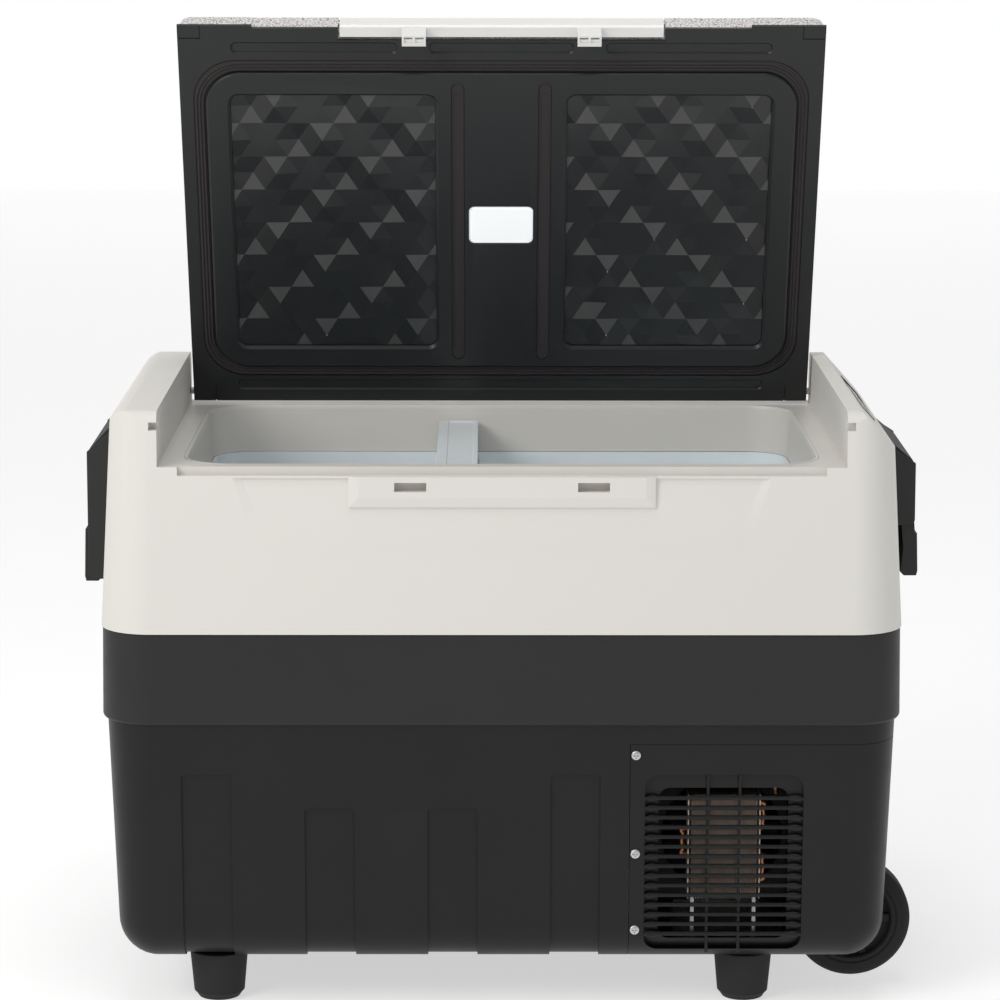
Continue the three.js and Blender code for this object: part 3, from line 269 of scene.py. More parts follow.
WHITE_SHELL = Finish("white_shell", (0.73, 0.71, 0.675), 0.42, size=0.7, relief=0.025, tone=0.02)
COLLAR = Finish("beige_collar", (0.66, 0.64, 0.60), 0.38, size=1.2, relief=0.012, tone=0.02)
LINER = Finish("food_liner", (0.80, 0.86, 0.89), 0.3, size=1.6, relief=0.012, tone=0.03)
DIVIDER = Finish(
    "divider", (0.76, 0.81, 0.83), 0.35, grain=Grain.LINED, size=1.1, relief=0.05, tone=0.03,
)
FOAM = Finish(
    "insulation", (0.78, 0.70, 0.47), 0.95, grain=Grain.CELLULAR, size=1.6, relief=0.5, tone=0.1,
)
BELT = Finish(
    "belt_band", (0.017, 0.017, 0.0175), 0.5, size=0.8, relief=0.09, tone=0.06, specular=0.34,
)
HOUSING = Finish(
    "housing", (0.0075, 0.008, 0.0084), 0.42, size=0.7, relief=0.03, tone=0.08, specular=0.27,
)
BLACK = Finish("black_plastic", (0.026, 0.026, 0.026), 0.45, size=0.8, relief=0.05, tone=0.08)
LID_INNER = Finish(
    "lid_inner", (0.016, 0.017, 0.018), 0.4, size=0.9, relief=0.015, tone=0.06, specular=0.36,
)
FACETS = Finish(
    "lid_facets", (0.013, 0.014, 0.015), 0.3, grain=Grain.LINED, size=1.3, relief=0.03, tone=0.08,
)
# Lined finish for the facets that slant one way. The fine lines belong to the moulding; the lighter
# colour is a painted highlight.
FACETS_LINED_HIGHLIGHT = Finish(
    "lid_facets_lined_highlight", (0.060, 0.060, 0.060), 0.42,
    grain=Grain.LINED, size=0.9, relief=0.12, tone=0.2,
)
LID_COAT = Finish(
    "lid_coat", (0.78, 0.76, 0.75), 0.5, metallic=0.25, grain=Grain.SPECKLED,
    size=1.5, relief=0.22, tone=0.06, fleck=(0.16, 0.15, 0.14),
)
LATCH_WHITE = Finish("latch_white", (0.79, 0.785, 0.765), 0.38, size=1.2, relief=0.01, tone=0.015)
LENS = Finish(
    "lamp_lens", (0.92, 0.94, 0.95), 0.16, size=2.5, relief=0.01, tone=0.01, coat=0.4, glow=0.35,
)
SEAL = Finish(
    "seal_foam", (0.017, 0.016, 0.013), 0.85,
    grain=Grain.CELLULAR, size=0.9, relief=0.25, tone=0.15,
)
RUBBER = Finish("foot_rubber", (0.016, 0.016, 0.017), 0.62, size=0.8, relief=0.05, tone=0.1)
TYRE = Finish("wheel_rubber", (0.012, 0.011, 0.011), 0.4, size=0.9, relief=0.04, tone=0.12)
STEEL = Finish(
    "zinc_steel", (0.46, 0.45, 0.43), 0.3, metallic=1.0, grain=Grain.BRUSHED, size=0.5, relief=0.01,
)
ENAMEL = Finish("compressor_enamel", (0.012, 0.012, 0.013), 0.28, size=2.5, relief=0.06, tone=0.1)
COPPER = Finish("copper", (0.56, 0.25, 0.13), 0.28, metallic=1.0, size=1.4, relief=0.02, tone=0.15)
FINS = Finish(
    "condenser_fins", (0.66, 0.53, 0.45), 0.36,
    metallic=0.8, grain=Grain.BRUSHED, size=0.9, tone=0.2,
)
BOARD = Finish(
    "circuit_board", (0.012, 0.10, 0.035), 0.35, size=2.2, relief=0.05, tone=0.2, coat=0.3,
)
DISPLAY = Finish("display", (0.004, 0.004, 0.005), 0.08, size=2.0, relief=0.002, coat=0.6)
BUTTON = Finish("button", (0.50, 0.49, 0.46), 0.5, size=0.6, relief=0.03)
PALE_FLOOR = Finish(
    "pale_floor", (0.55, 0.55, 0.55), 0.85,
    size=4.0, relief=0.02, tone=0.01, specular=0.1, glow=1.05,
)

# ---------------------------------------------------------------- shape tools


def rounded(
    half_x: float, half_y: float, radius: float, x: float = 0.0, y: float = 0.0, steps: int = 12
) -> Outline:
    """Draw a rounded rectangle, counter-clockwise.

    Args:
        half_x: Half width.
        half_y: Half depth.
        radius: Corner radius.
        x: Middle across.
        y: Middle in depth.
        steps: Steps in each corner.

    Returns:
        The outline's points.
    """
    points: Outline = []
    for corner, (side_x, side_y) in enumerate(((1, 1), (-1, 1), (-1, -1), (1, -1))):
        for step in range(steps + 1):
            angle = (corner + step / steps) * math.pi / 2
            points.append((
                x + side_x * (half_x - radius) + radius * math.cos(angle),
                y + side_y * (half_y - radius) + radius * math.sin(angle),
            ))
    return points


def arc(x: float, y: float, radius: float, start: float, end: float, steps: int = 10) -> Outline:
    """Draw an arc between two angles.

    Args:
        x: Centre across.
        y: Centre in height.
        radius: Radius.
        start: First angle in degrees.
        end: Last angle in degrees.
        steps: Steps along the arc.

    Returns:
        The arc's points, both ends included.
    """
    angles = [math.radians(start + (end - start) * step / steps) for step in range(steps + 1)]
    return [(x + radius * math.cos(a), y + radius * math.sin(a)) for a in angles]


def slab(side: int, near: float, far: float) -> tuple[float, float]:
    """Give the lower and upper limit between two distances on one side of the middle."""
    return (near, far) if side > 0 else (-far, -near)


def host(mesh: bpy.types.Mesh, name: str = "work") -> bpy.types.Object:
    """Put a mesh into the scene for a while, so that modifiers can work on it.

    Args:
        mesh: Mesh to put in.
        name: Name of the object.

    Returns:
        The object that holds the mesh.
    """
    obj = bpy.data.objects.new(name, mesh)
    bpy.context.scene.collection.objects.link(obj)
    return obj


def settle(obj: bpy.types.Object) -> bpy.types.Mesh:
    """Apply an object's modifiers and take the object away.

    Args:
        obj: Object with live modifiers.

    Returns:
        The resulting mesh.
    """
    graph = bpy.context.evaluated_depsgraph_get()
    mesh = bpy.data.meshes.new_from_object(obj.evaluated_get(graph))
    bpy.data.objects.remove(obj)
    return mesh


@contextmanager
def editing(mesh: bpy.types.Mesh) -> Iterator[bmesh.types.BMesh]:
    """Open a mesh for editing, and write it back at the end.

    Args:
        mesh: Mesh to edit.

    Returns:
        The mesh's editable copy, for as long as the block runs.
    """
    shape = bmesh.new()
    shape.from_mesh(mesh)
    yield shape
    shape.to_mesh(mesh)
    shape.free()


class Solid:
    """A closed body that is being shaped, in millimetres."""

    def __init__(self, mesh: bpy.types.Mesh) -> None:
        """Keep the mesh of the body."""
        self.mesh = mesh

    @classmethod
    def faces(cls, points: Sequence[Place], faces: Sequence[Sequence[int]]) -> "Solid":
        """Make a body from points and faces, turned outwards.

        Args:
            points: Corners of the body.
            faces: Corner numbers of each face.

        Returns:
            The body.
        """
        mesh = bpy.data.meshes.new("solid")
        mesh.from_pydata(points, [], faces)
        with editing(mesh) as shape:
            bmesh.ops.remove_doubles(shape, verts=shape.verts, dist=WELD)
            bmesh.ops.recalc_face_normals(shape, faces=shape.faces)
        return cls(mesh)

    @classmethod
    def loft(cls, rings: Sequence[Sequence[Place]]) -> "Solid":
        """Skin a stack of rings that have equal numbers of points.

        Args:
            rings: Points of each ring, in order.

        Returns:
            The body, closed at both ends.
        """
        count = len(rings[0])
        points = [point for ring in rings for point in ring]
        faces = [
            [r * count + i, r * count + (i + 1) % count,
             (r + 1) * count + (i + 1) % count, (r + 1) * count + i]
            for r in range(len(rings) - 1) for i in range(count)
        ]
        last = (len(rings) - 1) * count
        faces += [list(range(count))[::-1], list(range(last, last + count))]
        return cls.faces(points, faces)

    @classmethod
    def upright(cls, rings: Sequence[tuple[float, Outline]]) -> "Solid":
        """Skin outlines that lie at given heights."""
        return cls.loft([[(x, y, z) for x, y in outline] for z, outline in rings])

    @classmethod
    def block(
        cls, half_x: float, half_y: float, radius: float,
        x: float, y: float, low: float, high: float,
        steps: int = 8,
    ) -> "Solid":
        """Make an upright block with rounded corners between two heights."""
        outline = rounded(half_x, half_y, radius, x, y, steps)
        return cls.upright([(low, outline), (high, outline)])

    @classmethod
    def box(cls, x0: float, x1: float, y0: float, y1: float, z0: float, z1: float) -> "Solid":
        """Make a box between two corners."""
        outline = [(x0, y0), (x1, y0), (x1, y1), (x0, y1)]
        return cls.upright([(z0, outline), (z1, outline)])

    @classmethod
    def along_y(cls, outline: Outline, y0: float, y1: float) -> "Solid":
        """Extrude an outline of x and z points in depth."""
        return cls.loft([[(x, y, z) for x, z in outline] for y in (y0, y1)])

    @classmethod
    def along_x(cls, outline: Outline, x0: float, x1: float) -> "Solid":
        """Extrude an outline of y and z points across."""
        return cls.loft([[(x, y, z) for y, z in outline] for x in (x0, x1)])

    @classmethod
    def rod(
        cls, radius: float, start: Place, end: Place,
        end_radius: float | None = None, sides: int = 32,
    ) -> "Solid":
        """Make a round bar or cone.

        Args:
            radius: Radius at the start.
            start: Middle of the first end.
            end: Middle of the last end.
            end_radius: Radius at the end, or None for a straight bar.
            sides: Number of sides.

        Returns:
            The body.
        """
        axis = Vector(end) - Vector(start)
        turn = axis.to_track_quat("Z", "X")
        rings = []
        for place, r in ((start, radius), (end, radius if end_radius is None else end_radius)):
            angles = [2 * math.pi * i / sides for i in range(sides)]
            rings.append([
                tuple(Vector(place) + turn @ Vector((r * math.cos(a), r * math.sin(a), 0.0)))
                for a in angles
            ])
        return cls.loft(rings)

    @classmethod
    def turned(
        cls, profile: Outline, x: float, y: float, z: float, axis: str = "Z", sides: int = 64
    ) -> "Solid":
        """Turn a profile of radius and height points about an axis.

        Args:
            profile: Closed profile, or one that starts and ends on the axis.
            x: Axis across.
            y: Axis in depth.
            z: Axis in height.
            axis: "Z" for upright, "Y" for one in depth.
            sides: Number of sides.

        Returns:
            The body.
        """
        points: list[Place] = []
        for i in range(sides):
            a = 2 * math.pi * i / sides
            for r, h in profile:
                u, v = r * math.cos(a), r * math.sin(a)
                points.append((x + u, y + v, z + h) if axis == "Z" else (x + u, y + h, z - v))
        count = len(profile)
        closed = profile[0][0] > 0
        spans = count if closed else count - 1
        faces = [
            [i * count + j, ((i + 1) % sides) * count + j,
             ((i + 1) % sides) * count + (j + 1) % count, i * count + (j + 1) % count]
            for i in range(sides) for j in range(spans)
        ]
        return cls.faces(points, faces)

    @classmethod
    def of_node(cls, node: str) -> "Solid":
        """Copy a node of the frame, with its loose triangles merged into whole faces.

        Args:
            node: Name of the node.

        Returns:
            The body.
        """
        source = frame["nodes"][node]
        mesh = source.data.copy()
        mesh.transform(Matrix.Scale(1 / MM, 4) @ source.matrix_world)
        with editing(mesh) as shape:
            bmesh.ops.remove_doubles(shape, verts=shape.verts, dist=NODE_WELD)
            bmesh.ops.dissolve_limit(
                shape, angle_limit=math.radians(0.6), verts=shape.verts, edges=shape.edges,
            )
        mesh.materials.clear()
        return cls(mesh)

    def _combine(self, others: Sequence["Solid"], operation: str) -> "Solid":
        """Run one Boolean operation after another.

        Args:
            others: Bodies to combine with, in order.
            operation: Kind of Boolean operation.

        Returns:
            The resulting body.
        """
        mesh = self.mesh
        for other in others:
            tool = host(other.mesh, "tool")
            work = host(mesh)
            step = work.modifiers.new("combine", "BOOLEAN")
            step.operation = operation
            step.solver = "MANIFOLD"
            step.object = tool
            mesh = settle(work)
            bpy.data.objects.remove(tool)
        return Solid(mesh)

    def join(self, *others: "Solid") -> "Solid":
        """Join other bodies to this one."""
        return self._combine(others, "UNION")

    def cut(self, *others: "Solid") -> "Solid":
        """Cut other bodies out of this one."""
        return self._combine(others, "DIFFERENCE")

    def common(self, *others: "Solid") -> "Solid":
        """Keep what this body shares with all the others."""
        return self._combine(others, "INTERSECT")

    def moved(self, matrix: Matrix) -> "Solid":
        """Move the body, and turn it right way out if the move mirrors it.

        Args:
            matrix: Move in millimetres.

        Returns:
            This body.
        """
        self.mesh.transform(matrix)
        if matrix.determinant() < 0:
            self.mesh.flip_normals()
        return self

    def with_bodies(self, *others: "Solid") -> "Solid":
        """Lay other bodies beside this one in the same mesh, without joining their surfaces.

        Args:
            others: Bodies to lay beside it.

        Returns:
            One body that holds them all.
        """
        shape = bmesh.new()
        for solid in (self, *others):
            shape.from_mesh(solid.mesh)
        mesh = bpy.data.meshes.new("bodies")
        shape.to_mesh(mesh)
        shape.free()
        return Solid(mesh)


LID_PIVOT = next(joint for joint in frame["joints"] if joint["name"] == "lid_hinge")
LID_OPEN = (
    Matrix.Translation(Vector(LID_PIVOT["pos_m"]) / MM)
    @ Matrix.Rotation(-math.radians(LID_PIVOT["range_deg"][0]), 4, Vector(LID_PIVOT["axis"]))
    @ Matrix.Translation(-Vector(LID_PIVOT["pos_m"]) / MM)
)


def place(
    name: str, solid: Solid, finish: Finish, body: str, nodes: Sequence[str] = (),
    edge: float = 0.6, on_lid: bool = False, segments: int = 3, sharp: float = 32.0,
    crease: float | None = None, trim: tuple[Finish, Callable[[Vector], bool]] | None = None,
) -> bpy.types.Object:
    """Finish a body as a piece of the cooler.

    Args:
        name: Name of the piece.
        solid: Its shape.
        finish: Its finish.
        body: Body of the frame that carries it.
        nodes: Nodes of the frame that it stands for.
        edge: Width of its softened edges in millimetres, or 0.
        on_lid: True if it is described on the closed lid.
        segments: Segments in each softened edge.
        sharp: Angle in degrees over which an edge is softened.
        crease: Angle in degrees over which shading breaks, or None for the same angle.
        trim: Second finish, and the test that picks its faces by their middles in millimetres.

    Returns:
        The piece.
    """
    if on_lid:
        solid.moved(LID_OPEN)
    if edge > 0:
        work = host(solid.mesh)
        bevel = work.modifiers.new("edges", "BEVEL")
        bevel.width = edge
        bevel.segments = segments
        bevel.limit_method = "ANGLE"
        bevel.angle_limit = math.radians(sharp)
        bevel.use_clamp_overlap = True
        solid = Solid(settle(work))
    mesh = solid.mesh
    mesh.name = name
    mesh.transform(Matrix.Scale(MM, 4))
    if len(mesh.materials) < 2:
        mesh.materials.clear()
        mesh.materials.append(finish.material())
    if trim is not None:
        mesh.materials.append(trim[0].material())
        for face in mesh.polygons:
            face.material_index = int(trim[1](face.center / MM))
    mesh.shade_smooth()
    mesh.set_sharp_from_angle(angle=math.radians(crease or sharp))
    piece = host(mesh, name)
    weigh = piece.modifiers.new("shading", "WEIGHTED_NORMAL")
    weigh.keep_sharp = True
    weigh.weight = 90
    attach(piece, body)
    if nodes:
        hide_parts(*nodes)
    LOG.info("%s: %d faces on %s", name, len(mesh.polygons), body)
    return piece


# ---------------------------------------------------------------- Geometry Nodes trees


class Nodes:
    """Geometry Nodes tree that is being built, with named inputs."""

    def __init__(self, name: str) -> None:
        """Start a tree whose result is one geometry.

        Args:
            name: Name of the tree.
        """
        self.tree = bpy.data.node_groups.new(name, "GeometryNodeTree")
        self.tree.interface.new_socket("Geometry", in_out="INPUT", socket_type="NodeSocketGeometry")
        self.tree.interface.new_socket(
            "Geometry", in_out="OUTPUT", socket_type="NodeSocketGeometry",
        )
        self.inputs = self.tree.nodes.new("NodeGroupInput")
        self.outputs = self.tree.nodes.new("NodeGroupOutput")

    def add_input(self, name: str, kind: str) -> bpy.types.NodeSocket:
        """Add a named input and give its socket."""
        self.tree.interface.new_socket(name, in_out="INPUT", socket_type=f"NodeSocket{kind}")
        return self.inputs.outputs[name]

    def add(self, kind: str, links: dict | None = None, **settings: object) -> bpy.types.Node:
        """Add a node.

        Args:
            kind: Kind of node, without its prefix.
            links: Sockets or plain values for its inputs, by name or number.
            settings: Properties of the node.

        Returns:
            The node.
        """
        prefix = "ShaderNode" if kind in ("Math", "CombineXYZ", "SeparateXYZ") else "GeometryNode"
        node = self.tree.nodes.new(kind if kind.startswith("FunctionNode") else prefix + kind)
        for key, value in settings.items():
            setattr(node, key, value)
        for key, value in (links or {}).items():
            if isinstance(value, bpy.types.NodeSocket):
                self.tree.links.new(value, node.inputs[key])
            else:
                node.inputs[key].default_value = value
        return node

    def math(self, operation: str, first: object, second: object = 0.0) -> bpy.types.NodeSocket:
        """Add a sum on one or two values and give its result."""
        return self.add("Math", {0: first, 1: second}, operation=operation).outputs[0]

    def close(
        self, geometry: bpy.types.NodeSocket, picked: bpy.types.NodeSocket | None = None
    ) -> bpy.types.NodeTree:
        """End the tree in Realize Instances and Set Material.

        Args:
            geometry: Socket with the geometry.
            picked: Socket that picks the faces of a second finish, or None.

        Returns:
            The finished tree.
        """
        finish = self.add_input("Finish", "Material")
        whole = self.add("RealizeInstances", {"Geometry": geometry}).outputs[0]
        painted = self.add("SetMaterial", {"Geometry": whole, "Material": finish}).outputs[0]
        if picked is not None:
            second = self.add_input("Second Finish", "Material")
            painted = self.add("SetMaterial", {
                "Geometry": painted, "Selection": picked, "Material": second,
            }).outputs[0]
        self.tree.links.new(painted, self.outputs.inputs[0])
        return self.tree


def row_tree() -> bpy.types.NodeTree:
    """Build the tree that repeats one piece along a straight row.

    Returns:
        The tree.
    """
    nodes = Nodes("row")
    line = nodes.add("MeshLine", {
        "Count": nodes.add_input("Count", "Int"),
        "Start Location": nodes.add_input("Start", "Vector"),
        "Offset": nodes.add_input("Step", "Vector"),
    }, mode="OFFSET")
    one = nodes.add("ObjectInfo", {"Object": nodes.add_input("Piece", "Object")})
    repeat = nodes.add(
        "InstanceOnPoints", {"Points": line.outputs[0], "Instance": one.outputs["Geometry"]},
    )
    return nodes.close(repeat.outputs[0])


def points_tree() -> bpy.types.NodeTree:
    """Build the tree that repeats one piece on every corner of the mesh that carries it.

    Returns:
        The tree.
    """
    nodes = Nodes("points")
    points = nodes.add("MeshToPoints", {"Mesh": nodes.inputs.outputs["Geometry"]})
    one = nodes.add("ObjectInfo", {"Object": nodes.add_input("Piece", "Object")})
    repeat = nodes.add(
        "InstanceOnPoints", {"Points": points.outputs[0], "Instance": one.outputs["Geometry"]},
    )
    return nodes.close(repeat.outputs[0])


def bead_tree() -> bpy.types.NodeTree:
    """Build the tree that runs a round bead along the edges of the mesh that carries it.

    Returns:
        The tree.
    """
    nodes = Nodes("bead")
    curve = nodes.add("MeshToCurve", {"Mesh": nodes.inputs.outputs["Geometry"]})
    section = nodes.add("CurvePrimitiveCircle", {
        "Resolution": nodes.add_input("Sides", "Int"),
        "Radius": nodes.add_input("Radius", "Float"),
    })
    bead = nodes.add(
        "CurveToMesh", {"Curve": curve.outputs[0], "Profile Curve": section.outputs[0]},
    )
    smooth = nodes.add("SetShadeSmooth", {"Geometry": bead.outputs[0]})
    return nodes.close(smooth.outputs[0])


def facet_tree() -> bpy.types.NodeTree:
    """Build the tree of a sheet of triangular facets whose peaks follow a repeating rule.

    Returns:
        The tree.
    """
    nodes = Nodes("facets")
    pitch = nodes.add_input("Pitch", "Float")
    row_pitch = nodes.add_input("Row Pitch", "Float")
    height = nodes.add_input("Height", "Float")
    hand = nodes.add_input("Hand", "Float")
    uneven = nodes.add_input("Uneven", "Float")
    grid = nodes.add("MeshGrid", {
        "Size X": nodes.add_input("Width", "Float"),
        "Size Y": nodes.add_input("Depth", "Float"),
        "Vertices X": nodes.add_input("Columns", "Int"),
        "Vertices Y": nodes.add_input("Rows", "Int"),
    })
    place_at = nodes.add("SeparateXYZ", {0: nodes.add("InputPosition").outputs[0]})
    row = nodes.math("ROUND", nodes.math("DIVIDE", place_at.outputs[1], row_pitch))
    column = nodes.math("ROUND", nodes.math("DIVIDE", place_at.outputs[0], pitch))
    odd = nodes.math("FLOORED_MODULO", row, 2.0)
    shift = nodes.math("MULTIPLY", odd, nodes.math("MULTIPLY", pitch, 0.5))
    count = nodes.math("ADD", nodes.math("MULTIPLY", column, hand), row)
    step = nodes.math(
        "ROUND", nodes.math("FLOORED_MODULO", nodes.math("SUBTRACT", count, 1.0), 4.0),
    )
    peak = nodes.math("LESS_THAN", nodes.math("ABSOLUTE", nodes.math("SUBTRACT", step, 1.0)), 0.5)
    dip = nodes.math("LESS_THAN", step, 0.5)
    tall = nodes.math("MULTIPLY", odd, nodes.math("SUBTRACT", peak, dip))
    ripple = nodes.math("SINE", nodes.math("MULTIPLY", count, math.pi / 2))
    small = nodes.math(
        "MULTIPLY", nodes.math("SUBTRACT", 1.0, odd), nodes.math("MULTIPLY", ripple, 0.22),
    )
    random = nodes.add("FunctionNodeRandomValue", {"Seed": 7}, data_type="FLOAT")
    spread = nodes.math("MULTIPLY", nodes.math("SUBTRACT", random.outputs[1], 0.5), uneven)
    rise = nodes.math("MULTIPLY", nodes.math("ADD", nodes.math("ADD", tall, small), spread), height)
    offset = nodes.add("CombineXYZ", {0: shift, 2: rise})
    moved = nodes.add("SetPosition", {"Geometry": grid.outputs[0], "Offset": offset.outputs[0]})
    facets = nodes.add("Triangulate", {"Mesh": moved.outputs[0]}, quad_method="SHORTEST_DIAGONAL")
    # Facets whose normals slant one way in depth take the lighter second finish, a painted
    # highlight on one side of each ridge.
    slant = nodes.add("SeparateXYZ", {0: nodes.add("InputNormal").outputs[0]}).outputs[1]
    return nodes.close(facets.outputs[0], nodes.math("LESS_THAN", slant, -0.081))


class Trees:
    """The trees, each built at its first use."""

    _made: dict[str, bpy.types.NodeTree] = {}

    @classmethod
    def get(cls, maker: Callable[[], bpy.types.NodeTree]) -> bpy.types.NodeTree:
        """Give the tree that a maker builds.

        Args:
            maker: Function that builds the tree.

        Returns:
            The tree, built once.
        """
        if maker.__name__ not in cls._made:
            cls._made[maker.__name__] = maker()
        return cls._made[maker.__name__]


def grow(
    maker: Callable[[], bpy.types.NodeTree],
    finish: Finish,
    base: bpy.types.Mesh | None = None,
    **values: object,
) -> Solid:
    """Run a tree and give its result as a plain body.

    Args:
        maker: Function that builds the tree.
        finish: Finish of the result.
        base: Mesh that carries the tree, or None where it needs none.
        values: Values of the tree's named inputs, with underscores for spaces.

    Returns:
        The body.
    """
    tree = Trees.get(maker)
    work = host(base or bpy.data.meshes.new("seed"), "grow")
    step = work.modifiers.new("grow", "NODES")
    step.node_group = tree
    values["Finish"] = finish.material()
    named = {key.replace("_", " "): value for key, value in values.items()}
    for item in tree.interface.items_tree:
        if item.in_out == "INPUT" and item.name in named:
            step[item.identifier] = named[item.name]
    return Solid(settle(work))


def repeat_row(one: Solid, start: Place, step: Place, count: int, finish: Finish) -> Solid:
    """Repeat a body along a straight row.

    Args:
        one: Body, described at the origin.
        start: Place of the first.
        step: Distance from each to the next.
        count: How many there are.
        finish: Finish of the row.

    Returns:
        The row as one body.
    """
    piece = host(one.mesh, "one")
    row = grow(row_tree, finish, Count=count, Start=start, Step=step, Piece=piece)
    bpy.data.objects.remove(piece)
    return row


def repeat_on(one: Solid, points: Sequence[Place], finish: Finish) -> Solid:
    """Repeat a body on each of a list of points.

    Args:
        one: Body, described at the origin.
        points: Places of the copies.
        finish: Finish of the copies.

    Returns:
        The copies as one body.
    """
    base = bpy.data.meshes.new("points")
    base.from_pydata(points, [], [])
    piece = host(one.mesh, "one")
    copies = grow(points_tree, finish, base, Piece=piece)
    bpy.data.objects.remove(piece)
    return copies


def bead(
    route: Sequence[Place], radius: float, finish: Finish, closed: bool = True, sides: int = 10
) -> Solid:
    """Run a round bead along a route.

    Args:
        route: Points of the route.
        radius: Radius of the bead.
        finish: Finish of the bead.
        closed: True if the route joins up.
        sides: Sides of the bead.

    Returns:
        The bead.
    """
    count = len(route)
    base = bpy.data.meshes.new("route")
    spans = count if closed else count - 1
    base.from_pydata(route, [(i, (i + 1) % count) for i in range(spans)], [])
    return grow(bead_tree, finish, base, Radius=radius, Sides=sides)


# ---------------------------------------------------------------- the body's outlines


@dataclass(frozen=True)
class BodyForm:
    """Outlines that the housing, the belt band and the shell share."""

    half_x: float = 325.0
    half_y: float = 186.0
    corner: float = 42.0
    belt_low: float = 245.0
    belt_high: float = 320.0
    tub_low: float = 41.0
    tub_edge: float = 34.0
    tub_inset: float = 3.0
    tub_draft: float = 0.037
    shell_draft: float = 0.0556
    deck: float = 455.6
    shell_top: float = 500.4
    slope_x: float = 288.0
    slope: float = 1.099
    slope_shift: float = 0.442
    wall: float = 3.2

    def tub_in(self, z: float) -> float:
        """Give how far the lower body lies inside the belt band at a height."""
        return self.tub_inset + (self.belt_low - z) * self.tub_draft

    def tub_face(self, z: float) -> float:
        """Give the depth of the lower body's front face at a height."""
        return self.half_y - self.tub_in(z)

    def shell_in(self, z: float) -> float:
        """Give how far the shell lies inside the belt band at a height."""
        return -1.0 + (z - self.belt_high) * self.shell_draft

    def ring(self, z: float, inset: float) -> tuple[float, Outline]:
        """Give the plan outline at a height, moved in from the belt band."""
        corner = max(self.corner - inset, 8.0)
        return z, rounded(self.half_x - inset, self.half_y - inset, corner)

    def tub(self, offset: float, top: float | None = None) -> Solid:
        """Make the lower form with its rounded bottom edge.

        Args:
            offset: How far it is moved inwards.
            top: Its top, or None for the belt band's lower edge.

        Returns:
            The solid form.
        """
        top = self.belt_low - GAP if top is None else top
        radius = self.tub_edge - offset
        centre = self.tub_low + self.tub_edge
        rings = []
        for step in range(10, -1, -1):
            angle = step / 10 * math.pi / 2
            inset = self.tub_in(centre) + offset + radius * (1 - math.cos(angle))
            rings.append(self.ring(centre - radius * math.sin(angle), inset))
        rings.append(self.ring(top, self.tub_in(top) + offset))
        return Solid.upright(rings)

    def shell(self, offset: float, low: float, high: float) -> Solid:
        """Make the drafted upper form between two heights."""
        return Solid.upright([self.ring(z, self.shell_in(z) + offset) for z in (low, high)])


FORM = BodyForm()


def across(x0: float, x1: float, z0: float, z1: float) -> Solid:
    """Make a box that runs through the whole depth."""
    return Solid.box(x0, x1, -FAR, FAR, z0, z1)


# ---------------------------------------------------------------- lower body


@dataclass
class LowerBody:
    """Lower housing with its pressed channels, and the belt band above it."""

    channels: tuple[tuple[float, float], ...] = (
        (-240.0, 203.0), (-140.0, 174.5), (-40.0, 174.5), (60.0, 203.0),
    )
    channel_half: float = 20.3
    channel_depth: float = 2.0
    bay_x: float = 104.0
    bay_ceiling: float = 228.3
    bay_shelf: float = 3.4
    belt_wall: float = 4.0

    def build(self) -> None:
        """Make and place both pieces."""
        place("lower_housing_body", self.housing(), HOUSING, "cabinet", ["lower_housing"], edge=0.7)
        place("belt_band_body", self.belt(), BELT, "cabinet", ["belt_band"], edge=0.8)

    def housing(self) -> Solid:
        """Shape the housing.

        Returns:
            The housing with its bulkhead and shelf.
        """
        outer = FORM.tub(0)
        floor = FORM.tub(self.channel_depth, FORM.belt_low + 10)
        channels = []
        for x, top in self.channels:
            slot = rounded(self.channel_half, 130, 3, x, top - 130, 4)
            channels.append(Solid.along_y(slot, -FAR, FAR).cut(floor))
        bulkhead = FORM.tub(0).common(
            across(self.bay_x - FORM.wall, self.bay_x, 0, self.bay_ceiling + 1),
        )
        shelf = FORM.tub(0).common(across(
            self.bay_x - FORM.wall, FAR, self.bay_ceiling + GAP, self.bay_ceiling + self.bay_shelf,
        ))
        lined = outer.cut(FORM.tub(FORM.wall, FORM.belt_low + 10), *channels)
        return lined.cut(across(self.bay_x, FAR, 0, self.bay_ceiling + GAP)).join(bulkhead, shelf)

    def belt(self) -> Solid:
        """Shape the belt band with its flared lower lip.

        Returns:
            The band, open at the top and the bottom.
        """
        low, high = FORM.belt_low, FORM.belt_high
        outer = Solid.upright([
            FORM.ring(low, 0.4), FORM.ring(low + 2, -1),
            FORM.ring(high - 1, 0), FORM.ring(high, 0.6),
        ])
        return outer.cut(Solid.upright([
            FORM.ring(low - 1, self.belt_wall), FORM.ring(high + 1, self.belt_wall),
        ]))


